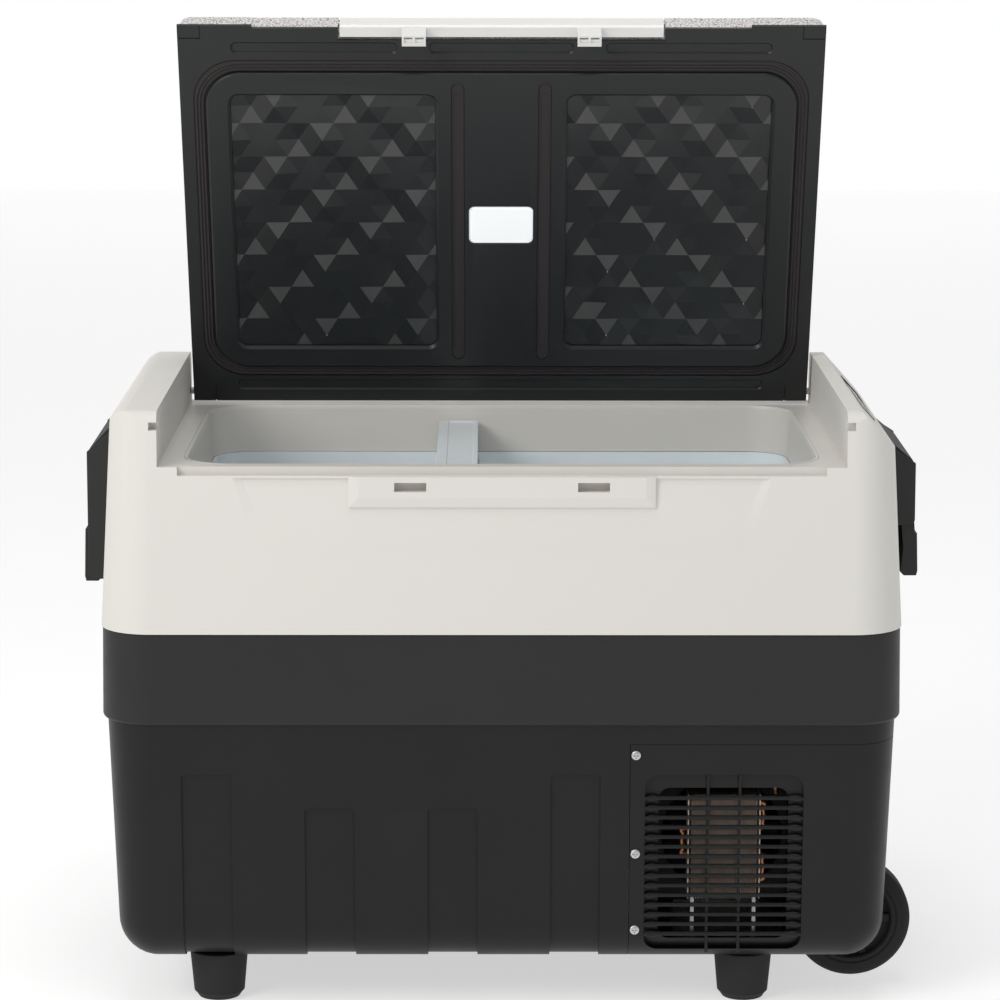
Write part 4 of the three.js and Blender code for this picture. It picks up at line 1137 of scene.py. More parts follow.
@dataclass
class BayCover:
    """Cover of the machine bay, with a grille at the front and the rear, and two wheel wells."""

    left: float = 104.4
    ceiling: float = 228.3
    recess: tuple[float, float, float, float] = (116.6, 245.4, 52.0, 203.0)
    recess_corner: float = 12.0
    recess_depth: float = 4.2
    hole: tuple[float, float, float, float] = (128.0, 233.6, 62.0, 191.0)
    hole_corner: float = 9.0
    slats: int = 15
    slat_pitch: float = 8.27
    slat_top: float = 183.0
    bars: tuple[float, ...] = (168.0, 194.0)
    wheel: tuple[float, float] = (294.0, 59.0)
    wheel_radius: float = 49.5
    wheel_span: tuple[float, float] = (80.0, 108.0)
    screw_x: float = 109.0
    screw_z: tuple[float, ...] = (219.5, 136.0, 71.0)

    def build(self) -> None:
        """Make and place the cover, its slats and bars, and its screws."""
        place("bay_cover_body", self.cover(), HOUSING, "cabinet", ["bay_cover"], edge=1.2)
        for side in SIDES:
            end = END_NAMES[side]
            place(f"grille_slats_{end}", self.slat_row(side), HOUSING, "cabinet", edge=0)
            place(f"grille_bars_{end}", self.bar_pair(side), HOUSING, "cabinet", edge=0)
            names = [f"cover_screw_{end}_{row}" for row in (1, 2, 3)]
            place(
                f"cover_screws_{end}", self.screws(side), STEEL,
                "cabinet", names, edge=0.12, segments=2,
            )

    @staticmethod
    def _window(
        edges: tuple[float, float, float, float], corner: float, grow: float = 0.0,
    ) -> Outline:
        """Draw a rounded window between left, right, bottom and top edges.

        Args:
            edges: Left, right, bottom and top edge.
            corner: Corner radius.
            grow: How far it is grown outwards.

        Returns:
            The window's outline.
        """
        left, right, low, high = edges
        half_x, half_z = (right - left) / 2 + grow, (high - low) / 2 + grow
        return rounded(half_x, half_z, corner + grow, (left + right) / 2, (low + high) / 2)

    def cover(self) -> Solid:
        """Shape the cover.

        Returns:
            The cover with its recesses, holes and wheel wells.
        """
        outer = FORM.tub(0).common(across(self.left, FAR, 0, self.ceiling))
        inner = FORM.tub(FORM.wall).common(across(self.left - 5, FAR, 0, self.ceiling + 5))
        body = outer.cut(inner)
        left, right, low, high = self.recess
        for side in SIDES:
            thick = FORM.tub(0).cut(FORM.tub(self.recess_depth + FORM.wall)).common(
                Solid.box(left - 3.5, right + 3.5, *slab(side, 150, FAR), low - 8, high + 5),
            )
            dish = Solid.along_y(
                self._window(self.recess, self.recess_corner), *slab(side, 120, FAR),
            )
            dish = dish.cut(FORM.tub(self.recess_depth))
            hole = Solid.along_y(self._window(self.hole, self.hole_corner), *slab(side, 120, FAR))
            body = body.join(thick).cut(dish, hole)
        x, z = self.wheel
        near, far = self.wheel_span
        top, start = z + self.wheel_radius + 4, x - self.wheel_radius - 3
        for side in SIDES:
            walls = FORM.tub(0).common(
                Solid.box(start - 2.5, FAR, *slab(side, near - 6.5, far + 6.5), 0, top + 2.5),
            )
            well = Solid.box(start, FAR, *slab(side, near - 4, far + 4), 0, top)
            axle = Solid.rod(4 + GAP, (x, side * (near - 12), z), (x, side * (far + 12), z))
            body = body.join(walls).cut(well, axle)
        return body.cut(Solid.box(300, FAR, -15.3, 15.3, 162.7, 187.3))

    def slat_row(self, side: int) -> Solid:
        """Shape the row of slats, whose ends swell into ribs on the recess's side walls.

        Args:
            side: -1 for the front grille, 1 for the rear one.

        Returns:
            The row.
        """
        left, right = self.recess[0], self.recess[1]
        stations = (
            (-0.6, 0.5, 0.3, 0.2), (1.2, 1.5, 1.4, -0.3),
            (3.4, 2.6, 2.4, -1.2), (6.4, 2.9, 2.7, -1.8),
            (9.6, 2.3, 2.4, -2.2), (13.0, 1.75, 2.2, -2.3),
        )
        ends = [(left + x, h, d, y) for x, h, d, y in stations]
        ends += [(right - x, h, d, y) for x, h, d, y in reversed(stations)]
        rings = []
        for x, half_high, half_deep, out in ends:
            ring = []
            for i in range(14):
                a = 2 * math.pi * i / 14
                round_y = math.copysign(abs(math.cos(a)) ** 0.7, math.cos(a))
                round_z = math.copysign(abs(math.sin(a)) ** 0.7, math.sin(a))
                ring.append((x, -out + half_deep * round_y, half_high * round_z))
            rings.append(ring)
        one = Solid.loft(rings)
        face = FORM.tub_face(self.slat_top)
        row = repeat_row(
            one, (0.0, -face, self.slat_top),
            (0.0, self.slat_pitch * FORM.tub_draft, -self.slat_pitch),
            self.slats, HOUSING,
        )
        return row if side < 0 else row.moved(Matrix.Scale(-1, 4, Vector((0, 1, 0))))

    def bar_pair(self, side: int) -> Solid:
        """Shape the upright bars that tie the slats together.

        Args:
            side: -1 for the front grille, 1 for the rear one.

        Returns:
            The bars.
        """
        low, high = self.recess[2], self.recess[3]
        made = []
        for x in self.bars:
            route = [
                (x, -FORM.tub_face(high) + 0.6, high + 0.5),
                (x, -FORM.tub_face(high) + 1.0, high - 3),
            ]
            steps = 12
            for i in range(steps + 1):
                z = high - 8 - (high - low - 14) * i / steps
                route.append((x, -FORM.tub_face(max(z, 75)) + 3.0, z))
            route += [
                (x, -FORM.tub_face(75) + 2.2, low + 2), (x, -FORM.tub_face(75) + 3.4, low - 0.8),
            ]
            made.append(bead(route, 1.35, HOUSING, closed=False))
        pair = made[0].with_bodies(*made[1:])
        return pair if side < 0 else pair.moved(Matrix.Scale(-1, 4, Vector((0, 1, 0))))

    def screws(self, side: int) -> Solid:
        """Shape the three pan-head screws of one end.

        Args:
            side: -1 for the front, 1 for the rear.

        Returns:
            The screws.
        """
        head = [(0.0, -0.1), (3.75, -0.1), (3.9, 0.35)]
        head += [
            (3.9 * math.cos(a), 0.5 + 1.3 * math.sin(a)) for a in (0.3, 0.6, 0.9, 1.2)
        ] + [(0.0, 1.8)]
        one = Solid.turned(head, 0, 0, 0, sides=32).join(
            Solid.rod(1.6, (0, 0, -10), (0, 0, 0.2), sides=16),
        )
        slots = [Solid.box(-2.5, 2.5, -0.6, 0.6, 0.3, 3), Solid.box(-0.6, 0.6, -2.5, 2.5, 0.3, 3)]
        one = one.cut(*slots, Solid.rod(1.0, (0, 0, 0.2), (0, 0, 3), sides=16))
        one.moved(Matrix.Rotation(math.radians(-side * 90), 4, "X"))
        points = [(self.screw_x, side * (FORM.tub_face(z) + GAP), z) for z in self.screw_z]
        return repeat_on(one, points, STEEL)


# ---------------------------------------------------------------- upper body


@dataclass
class UpperShell:
    """Upper shell with its deck, shoulders, rebates, latch pad and keeper windows."""

    inner_x: float = 276.2
    round_x: float = 318.0
    round: float = 18.0
    nose: float = 10.0
    rebate: tuple[float, float, float] = (260.0, 11.0, 448.6)
    pad_half: float = 123.0
    pad_span: tuple[float, float] = (423.5, 448.4)
    keeper_x: float = 73.5
    keeper_half: float = 12.8
    keeper_span: tuple[float, float] = (436.2, 443.8)
    keeper_back: float = -172.0
    pocket: tuple[float, float, float, float, float] = (216.0, 195.0, 447.0, 385.0, 1.8)
    opening: tuple[float, float, float, float] = (255.0, 153.5, -8.7, 38.0)

    def build(self) -> None:
        """Make and place the shell."""
        place("upper_shell_body", self.shell(), WHITE_SHELL, "cabinet", ["upper_shell"], edge=0.9,
              crease=11.5, trim=(COLLAR, self._on_deck))

    def _on_deck(self, middle: Vector) -> bool:
        """Tell whether a face belongs to the deck or to its stepped front and rear edges.

        Args:
            middle: Middle of the face in millimetres.

        Returns:
            True for a face of the deck.
        """
        on_strip = abs(middle.x) < self.rebate[0] + 1 and middle.z > self.rebate[2] - 0.4
        return middle.z < FORM.deck + 0.6 and (on_strip or middle.z > FORM.deck - 0.3) and (
            abs(middle.x) < self.inner_x + 0.4
        )

    def _shoulders(self, offset: float) -> Outline:
        """Draw the deck and shoulders as seen from the front, moved inwards by an offset.

        Args:
            offset: How far it is moved inwards.

        Returns:
            The outline, as points across and in height.
        """
        top, deck, low = FORM.shell_top - offset, FORM.deck - offset, FORM.belt_low
        start = FORM.slope_x - FORM.slope_shift * offset
        end = self.round_x + 4
        foot = top - (end - start) * FORM.slope
        points = [
            (-FAR, low), (FAR, low), (FAR, foot), (end, foot),
            (start, top), (self.inner_x + offset, top),
            (self.inner_x + offset, deck), (-self.inner_x - offset, deck),
            (-self.inner_x - offset, top),
        ]
        centre = (-self.round_x + self.round, FORM.shell_top - self.round)
        points += arc(*centre, self.round - offset, 90, 180, 12)
        return points + [(-FAR, FORM.shell_top - self.round)]

    def _nose(self, offset: float) -> Outline:
        """Draw the shell as seen from the side, with its rounded top edges.

        Args:
            offset: How far it is moved inwards.

        Returns:
            The outline, as points in depth and height.
        """
        radius = self.nose - offset
        z = FORM.shell_top - self.nose
        y = FORM.half_y - FORM.shell_in(z) - self.nose
        points = [(-FAR, FORM.belt_low), (FAR, FORM.belt_low), (FAR, z)]
        return points + arc(y, z, radius, 0, 90, 10) + arc(-y, z, radius, 90, 180, 10) + [(-FAR, z)]

    def _form(self, offset: float, low: float) -> Solid:
        """Make the solid form of the shell, moved inwards by an offset.

        Args:
            offset: How far it is moved inwards.
            low: Height of its lower end.

        Returns:
            The solid form.
        """
        return FORM.shell(offset, low, FORM.shell_top + 5).common(
            Solid.along_y(self._shoulders(offset), -FAR, FAR),
            Solid.along_x(self._nose(offset), -FAR, FAR),
        )

    def _latch_pad(self) -> Solid:
        """Shape the pad that the latch bar closes against.

        Returns:
            The pad, with sloping ends and lower edge.
        """
        low, high = self.pad_span
        rings = []
        for depth, shrink in ((178.4, 0.0), (181.3, 0.0), (182.2, 2.4), (183.4, 8.0)):
            half = self.pad_half - shrink
            outline = [(-half, low + shrink), (half, low + shrink), (half, high), (-half, high)]
            rings.append([(x, -depth, z) for x, z in outline])
        return Solid.loft(rings)

    def _pocket(self) -> Solid:
        """Shape the faint trapezoid that is pressed into the front face.

        Returns:
            The body that presses the pocket in.
        """
        top_half, low_half, high, low, depth = self.pocket

        def ring(shrink: float, sunk: float | None) -> list[Place]:
            """Draw the pocket's outline, drawn in and sunk into the face, or far in front of it.

            Args:
                shrink: How far the outline is drawn in.
                sunk: Depth below the face, or None for far in front of it.

            Returns:
                The outline's points.
            """
            top, foot, z0 = top_half - shrink, low_half - shrink, low + shrink
            outline = [(top, high), (-top, high), (-foot - 5.5, z0 + 16), (-foot - 1.5, z0 + 5)]
            outline += [
                (-foot + 8, z0), (foot - 8, z0), (foot + 1.5, z0 + 5), (foot + 5.5, z0 + 16),
            ]
            return [
                (x, -FAR if sunk is None else FORM.shell_in(z) - FORM.half_y + sunk, z)
                for x, z in outline
            ]

        return Solid.loft([ring(0, None), ring(0, 0.0), ring(7, depth)])

    def shell(self) -> Solid:
        """Shape the whole shell.

        Returns:
            The shell, open below.
        """
        low = FORM.belt_high + GAP
        half, depth, floor = self.rebate
        start = FORM.half_y - depth
        wall = FORM.wall
        rebates, backs = [], []
        for side in SIDES:
            rebates.append(Solid.box(-half, half, *slab(side, start, FAR), floor, FORM.deck + 5))
            backs.append(Solid.box(
                -half - wall, half + wall, *slab(side, start - wall, FAR),
                floor - wall, FORM.deck + 5,
            ))
        z0, z1 = self.keeper_span
        keepers = []
        for side in SIDES:
            x = side * self.keeper_x
            keepers.append(Solid.box(
                x - self.keeper_half, x + self.keeper_half, -FAR, self.keeper_back, z0, z1,
            ))
            backs.append(Solid.box(
                x - self.keeper_half - 3, x + self.keeper_half + 3, -FAR, self.keeper_back + 3,
                z0 - 3, FORM.deck,
            ))
        cavity = self._form(wall, low - 10).cut(*backs)
        body = self._form(0, low).cut(*rebates, self._pocket(), cavity)
        half_x, half_y, y, corner = self.opening
        rim = wall + GAP
        hole = Solid.block(
            half_x + rim, half_y + rim, corner + rim, 0, y, FORM.deck - 20, FORM.deck + 5, 12,
        )
        notches, fills = [], []
        for side in SIDES:
            notch = slab(side, self.inner_x - 1, self.inner_x + 6.5)
            notches.append(Solid.box(*notch, -FAR, -164, 485, 491.5))
            fills.append(Solid.box(
                *slab(side, self.inner_x + 0.5, self.inner_x + 9), -FAR, -161, 482, 497,
            ).common(self._form(0.4, FORM.deck - 50)))
        pins = [
            Solid.rod(
                HINGE_BORE, (side * (self.inner_x - 2), *HINGE_AT),
                (side * (self.inner_x + 5), *HINGE_AT),
            )
            for side in SIDES
        ]
        whole = body.join(self._latch_pad(), *fills)
        return whole.cut(*keepers, hole, ControlPanel.opening(), *pins, *notches)


@dataclass
class Opening:
    """Collar, food liner and divider inside the opening."""

    half_x: float = 255.0
    half_y: float = 153.5
    y: float = -8.7
    corner: float = 38.0
    collar_low: float = 415.0
    liner_half_x: float = 252.0
    liner_half_y: float = 150.8
    liner_corner: float = 34.0
    liner_wall: float = 1.6
    floor: float = 72.0
    step_x: float = 66.0
    step_floor: float = 262.0
    fillet: float = 16.0
    divider_x: float = -37.0
    divider_half: float = 17.2
    guide_half: float = 1.6

    def build(self) -> None:
        """Make and place the collar, the liner and the divider."""
        place("opening_collar_ring", self.collar(), COLLAR, "cabinet", ["opening_collar"], edge=1.1)
        place("food_liner_tub", self.liner(), LINER, "cabinet", ["food_liner"], edge=1.0)
        place("zone_divider_board", self.divider(), DIVIDER, "divider", ["zone_divider"], edge=1.4)

    def collar(self) -> Solid:
        """Shape the collar, a sloping ring with a flat rim.

        Returns:
            The collar.
        """
        def ring(z: float, grow: float, corner: float) -> tuple[float, Outline]:
            """Give the collar's outline at a height."""
            return z, rounded(self.half_x + grow, self.half_y + grow, corner, 0, self.y)

        top = FORM.deck + GAP
        outer = Solid.upright(
            [ring(self.collar_low, 0.8, self.corner), ring(top, 3.2, self.corner + 3.2)],
        )
        inner = Solid.upright([
            ring(self.collar_low - 1, -2.6, self.corner - 2),
            ring(top - 4, -0.5, self.corner - 0.5),
            ring(top - 1, 0.2, self.corner), ring(top + 1, 1.4, self.corner + 1),
        ])
        return outer.cut(inner)

    def _tub(self, half_x: float, x: float, offset: float, floor: float, top: float) -> Solid:
        """Make one zone as a tub with a rounded floor edge.

        Args:
            half_x: Half width of the zone.
            x: Middle of the zone.
            offset: How far it is grown outwards.
            floor: Height of the floor.
            top: Height of the top.

        Returns:
            The solid zone.
        """
        radius = self.fillet + offset
        rings = []
        for step in range(7):
            angle = step / 6 * math.pi / 2
            inset = radius * (1 - math.sin(angle)) - offset
            corner = max(self.liner_corner - inset, 4.0)
            outline = rounded(half_x - inset, self.liner_half_y - inset, corner, x, self.y)
            rings.append((floor - offset + radius * (1 - math.cos(angle)), outline))
        half_y, corner = self.liner_half_y + offset, self.liner_corner + offset
        rings.append((top, rounded(half_x + offset, half_y, corner, x, self.y)))
        return Solid.upright(rings)

    def _zones(self, offset: float, top: float) -> Solid:
        """Make the solid form of both zones, grown by an offset.

        Args:
            offset: How far it is grown outwards.
            top: Height of its top.

        Returns:
            The solid form.
        """
        upper = self._tub(self.liner_half_x, 0, offset, self.step_floor, top)
        left, right = -self.liner_half_x, self.step_x
        deep = self._tub(
            (right - left) / 2, (left + right) / 2, offset, self.floor, self.step_floor + 60,
        )
        return upper.join(deep)

    def liner(self) -> Solid:
        """Shape the food liner with the divider's guides.

        Returns:
            The liner, open at the top.
        """
        top = self.collar_low - GAP
        skin = self._zones(0, top).cut(self._zones(-self.liner_wall, top + 10))
        guides = []
        reach = self.liner_half_y - self.liner_wall / 2
        for side_y in SIDES:
            for side_x in SIDES:
                x = self.divider_x + side_x * (self.divider_half + 0.8 + self.guide_half)
                y0, y1 = slab(side_y, reach - 6, reach)
                guides.append(Solid.box(
                    x - self.guide_half, x + self.guide_half, self.y + y0, self.y + y1,
                    self.floor + 0.5 + self.fillet, top - 6,
                ))
        return skin.join(*guides)

    def divider(self) -> Solid:
        """Shape the divider, a board with a shallow tray along its top.

        Returns:
            The divider.
        """
        low, high = limits("zone_divider")
        half_y = (high.y - low.y) / 2
        board = Solid.block(self.divider_half, half_y, 3, self.divider_x, self.y, low.z, high.z, 4)
        tray = Solid.block(
            self.divider_half - 6, half_y - 5, 2, self.divider_x + 2.5, self.y,
            high.z - 0.7, high.z + 5, 4,
        )
        return board.cut(tray)


PANEL_DOWN = 20.5
MARK_LIFT = 0.82
MARK_RADIUS = 0.35


@dataclass
class ControlPanel:
    """Panel on the sloping right shoulder, with a display window and four buttons."""

    half_width: float = 16.0
    half_y: float = 98.0
    y: float = -5.0
    corner: float = 4.7

    @staticmethod
    def slope_frame() -> Matrix:
        """Give the frame of the slope: its X runs down the slope and its Z out of it.

        Returns:
            The slope's frame in millimetres.
        """
        length = math.hypot(1, FORM.slope)
        along = Vector((1 / length, 0, -FORM.slope / length))
        out = along.cross(Vector((0, 1, 0)))
        axes = Matrix((along, Vector((0, 1, 0)), out)).transposed().to_4x4()
        middle = Vector((FORM.slope_x, 0, FORM.shell_top)) + along * PANEL_DOWN
        return Matrix.Translation(middle) @ axes

    @classmethod
    def opening(cls) -> Solid:
        """Shape the hole that the panel fills.

        Returns:
            The body that cuts the hole.
        """
        grow = GAP
        hole = Solid.block(
            cls.half_width + grow, cls.half_y + grow, cls.corner + grow, 0, cls.y, -12, 5,
        )
        return hole.moved(cls.slope_frame())

    def build(self) -> None:
        """Make and place the panel, its window and its buttons."""
        place("control_panel_plate", Solid.of_node("control_panel"), WHITE_SHELL, "cabinet",
              ["control_panel"], edge=0.4)
        place("display_pane", Solid.of_node("display_window"), DISPLAY, "cabinet",
              ["display_window"], edge=0.4)
        # Black beads round the window and each button are painted shade for the narrow gaps round
        # them.
        self._gap_shade_bead("display_gap", 42.0, 10.3, 34.3)
        marks = {
            "power": self._ring_mark, "set": self._dot_mark,
            "up": self._up_mark, "down": self._down_mark,
        }
        for name, mark in marks.items():
            low, high = limits(f"button_{name}")
            body = f"button_{name}"
            place(f"{body}_cap", Solid.of_node(body), BUTTON, body, [body], edge=0.8)
            centre = self.slope_frame().inverted() @ ((low + high) / 2)
            self._gap_shade_bead(f"{body}_gap", centre.y, 8.3, 8.3)
            symbol = mark(centre.y).moved(self.slope_frame())
            place(f"{body}_mark", symbol, DISPLAY, body, edge=0)

    def _gap_shade_bead(self, name: str, y: float, half_x: float, half_y: float) -> None:
        """Make and place the black bead round a button or the window, painted shade for the narrow
        gap there.

        Args:
            name: Name of the piece.
            y: Middle of the outline along the slope's edge.
            half_x: Half its width down the slope.
            half_y: Half its length.
        """
        route = [(a, b, -0.15) for a, b in rounded(half_x, half_y, 3.0, 0, y, 6)]
        place(
            name, bead(route, 0.5, BLACK, sides=8).moved(self.slope_frame()),
            BLACK, "cabinet", edge=0,
        )

    @staticmethod
    def _stroke(points: Outline, y: float, closed: bool = False) -> Solid:
        """Run a thin line over a button's face.

        Args:
            points: Points of the line, down the slope and along its edge from the button's middle.
            y: Middle of the button along the slope's edge.
            closed: True if the line joins up.

        Returns:
            The line on the slope's frame.
        """
        route = [(down, y + along, MARK_LIFT) for down, along in points]
        return bead(route, MARK_RADIUS, DISPLAY, closed=closed, sides=6)

    @classmethod
    def _ring_mark(cls, y: float) -> Solid:
        """Draw an open ring with a stroke.

        Args:
            y: Middle of the button along the slope's edge.

        Returns:
            The mark on the slope's frame.
        """
        angles = [0.6 + i * 0.42 for i in range(13)]
        stroke = cls._stroke([(1.2, 0.0), (3.9, 0.0)], y)
        return cls._stroke(
            [(3.0 * math.cos(a), 3.0 * math.sin(a)) for a in angles], y,
        ).with_bodies(stroke)

    @classmethod
    def _dot_mark(cls, y: float) -> Solid:
        """Draw a round dot in a ring.

        Args:
            y: Middle of the button along the slope's edge.

        Returns:
            The mark on the slope's frame.
        """
        angles = [i * math.pi / 10 for i in range(20)]
        dot = Solid.rod(1.0, (0, y, 0.6), (0, y, 1.1), sides=16)
        ring = cls._stroke([(3.0 * math.cos(a), 3.0 * math.sin(a)) for a in angles], y, closed=True)
        return ring.with_bodies(dot)

    @classmethod
    def _up_mark(cls, y: float) -> Solid:
        """Draw a chevron that points up the slope."""
        return cls._stroke([(1.6, -3.0), (-1.6, 0.0), (1.6, 3.0)], y)

    @classmethod
    def _down_mark(cls, y: float) -> Solid:
        """Draw a chevron that points down the slope."""
        return cls._stroke([(-1.6, -3.0), (1.6, 0.0), (-1.6, 3.0)], y)


# ---------------------------------------------------------------- ground gear and handles


@dataclass
class GroundGear:
    """Feet, wheels and axles."""

    foot_profile: tuple[Point, ...] = (
        (0.0, 0.0), (15.5, 0.0), (17.2, 0.6), (18.2, 2.2), (19.6, 4.2), (21.0, 5.6),
        (23.9, 38.0), (24.0, 40.0), (23.4, 40.7), (0.0, 40.7),
    )
    wheel_radius: float = 49.5

    def build(self) -> None:
        """Make and place the feet, the wheels and the axles."""
        for side in SIDES:
            end = END_NAMES[side]
            points = []
            for hand in ("left", "right"):
                low, high = limits(f"foot_{end}_{hand}")
                points.append(((low.x + high.x) / 2, (low.y + high.y) / 2, low.z))
            one = Solid.turned(self.foot_profile, 0, 0, 0)
            names = [f"foot_{end}_left", f"foot_{end}_right"]
            place(f"feet_{end}", repeat_on(one, points, RUBBER), RUBBER, "cabinet", names, edge=0)
            self._wheel(end)
            axle = f"axle_{end}"
            place(f"{axle}_pin", Solid.of_node(axle), STEEL, "cabinet", [axle], edge=0.5)

    def _wheel(self, end: str) -> None:
        """Make and place one wheel, with its tyre, rim step, spokes and hub.

        Args:
            end: "front" or "rear".
        """
        node = f"wheel_{end}"
        low, high = limits(node)
        x, y, z = (low + high) / 2
        half = (high.y - low.y) / 2
        r = self.wheel_radius
        face = [
            (4.3, half - 0.6), (9.0, half - 0.6), (10.5, half - 1.8), (11.0, half - 7.0),
            (31.0, half - 7.0), (32.5, half - 5.5), (33.2, half - 1.2), (34.6, half - 0.2),
            (36.2, half - 1.0), (37.4, half - 1.0), (38.6, half), (44.0, half),
            (46.8, half - 0.9), (48.6, half - 2.6), (49.4, half - 5.0),
        ]
        profile = [(a, -b) for a, b in face] + [(r, 0.0)] + face[::-1]
        wheel = Solid.turned(profile, x, y, z, axis="Y", sides=112)
        spokes = []
        for i in range(5):
            turn = Matrix.Translation((x, y, z)) @ Matrix.Rotation(
                2 * math.pi * i / 5 + 0.3, 4, "Y",
            )
            spoke = Solid.upright([
                (10.0, rounded(4.6, half - 2.0, 1.5, steps=3)),
                (32.0, rounded(3.2, half - 4.0, 1.2, steps=3)),
            ])
            spokes.append(spoke.moved(turn))
        place(f"{node}_body", wheel.join(*spokes), TYRE, node, [node], edge=0.5)


@dataclass
class Handles:
    """Brackets and swinging bails at both ends."""

    def build(self) -> None:
        """Make and place the four pieces."""
        for side, top, shoulder, foot in ((-1, 474.0, 452.0, 345.0), (1, 459.0, 443.0, 391.0)):
            hand = HAND_NAMES[side]
            bracket, bail = f"handle_bracket_{hand}", f"handle_bail_{hand}"
            whole = Solid.of_node(bracket).with_bodies(*self._cheeks(side, top, shoulder, foot))
            place(f"{bracket}_body", whole, BLACK, "cabinet", [bracket], edge=1.2, segments=4)
            place(
                f"{bail}_body", Solid.of_node(bail), BLACK,
                f"bail_{hand}", [bail], edge=1.8, segments=4,
            )

    @staticmethod
    def _cheeks(side: int, top: float, shoulder: float, foot: float) -> list[Solid]:
        """Shape the two thin cheeks that close a bracket's ends over the bail's pivots.

        Args:
            side: -1 for the left end, 1 for the right one.
            top: Height of the bracket's top.
            shoulder: Height where its slope ends.
            foot: Height of its foot.

        Returns:
            The front and the rear cheek.
        """
        def face(z: float) -> float:
            """Give the distance of the body's end face at a height."""
            return FORM.half_x - FORM.shell_in(z) + 0.6

        outline = [
            (face(top) + 0.4, top - 0.4), (342.6, shoulder), (342.8, foot + 4),
            (340.5, foot), (face(foot), foot),
        ]
        turned = [(side * x, z) for x, z in outline]
        return [Solid.along_y(turned, *slab(end, 82.2, 83.9)) for end in SIDES]


# ---------------------------------------------------------------- machine bay


def smooth_route(points: Sequence[Place], steps: int = 8) -> list[Place]:
    """Draw a smooth curve through a few points.

    Args:
        points: Points that it passes.
        steps: Steps between each pair.

    Returns:
        The curve's points.
    """
    ends = [Vector(points[0]), *[Vector(point) for point in points], Vector(points[-1])]
    curve: list[Place] = []
    for a, b, c, d in zip(ends, ends[1:], ends[2:], ends[3:]):
        for step in range(steps):
            t = step / steps
            curve.append(tuple(0.5 * (
                2 * b + (c - a) * t + (
                    2 * a - 5 * b + 4 * c - d
                ) * t * t + (3 * b - a - 3 * c + d) * t ** 3
            )))
    return [*curve, tuple(points[-1])]


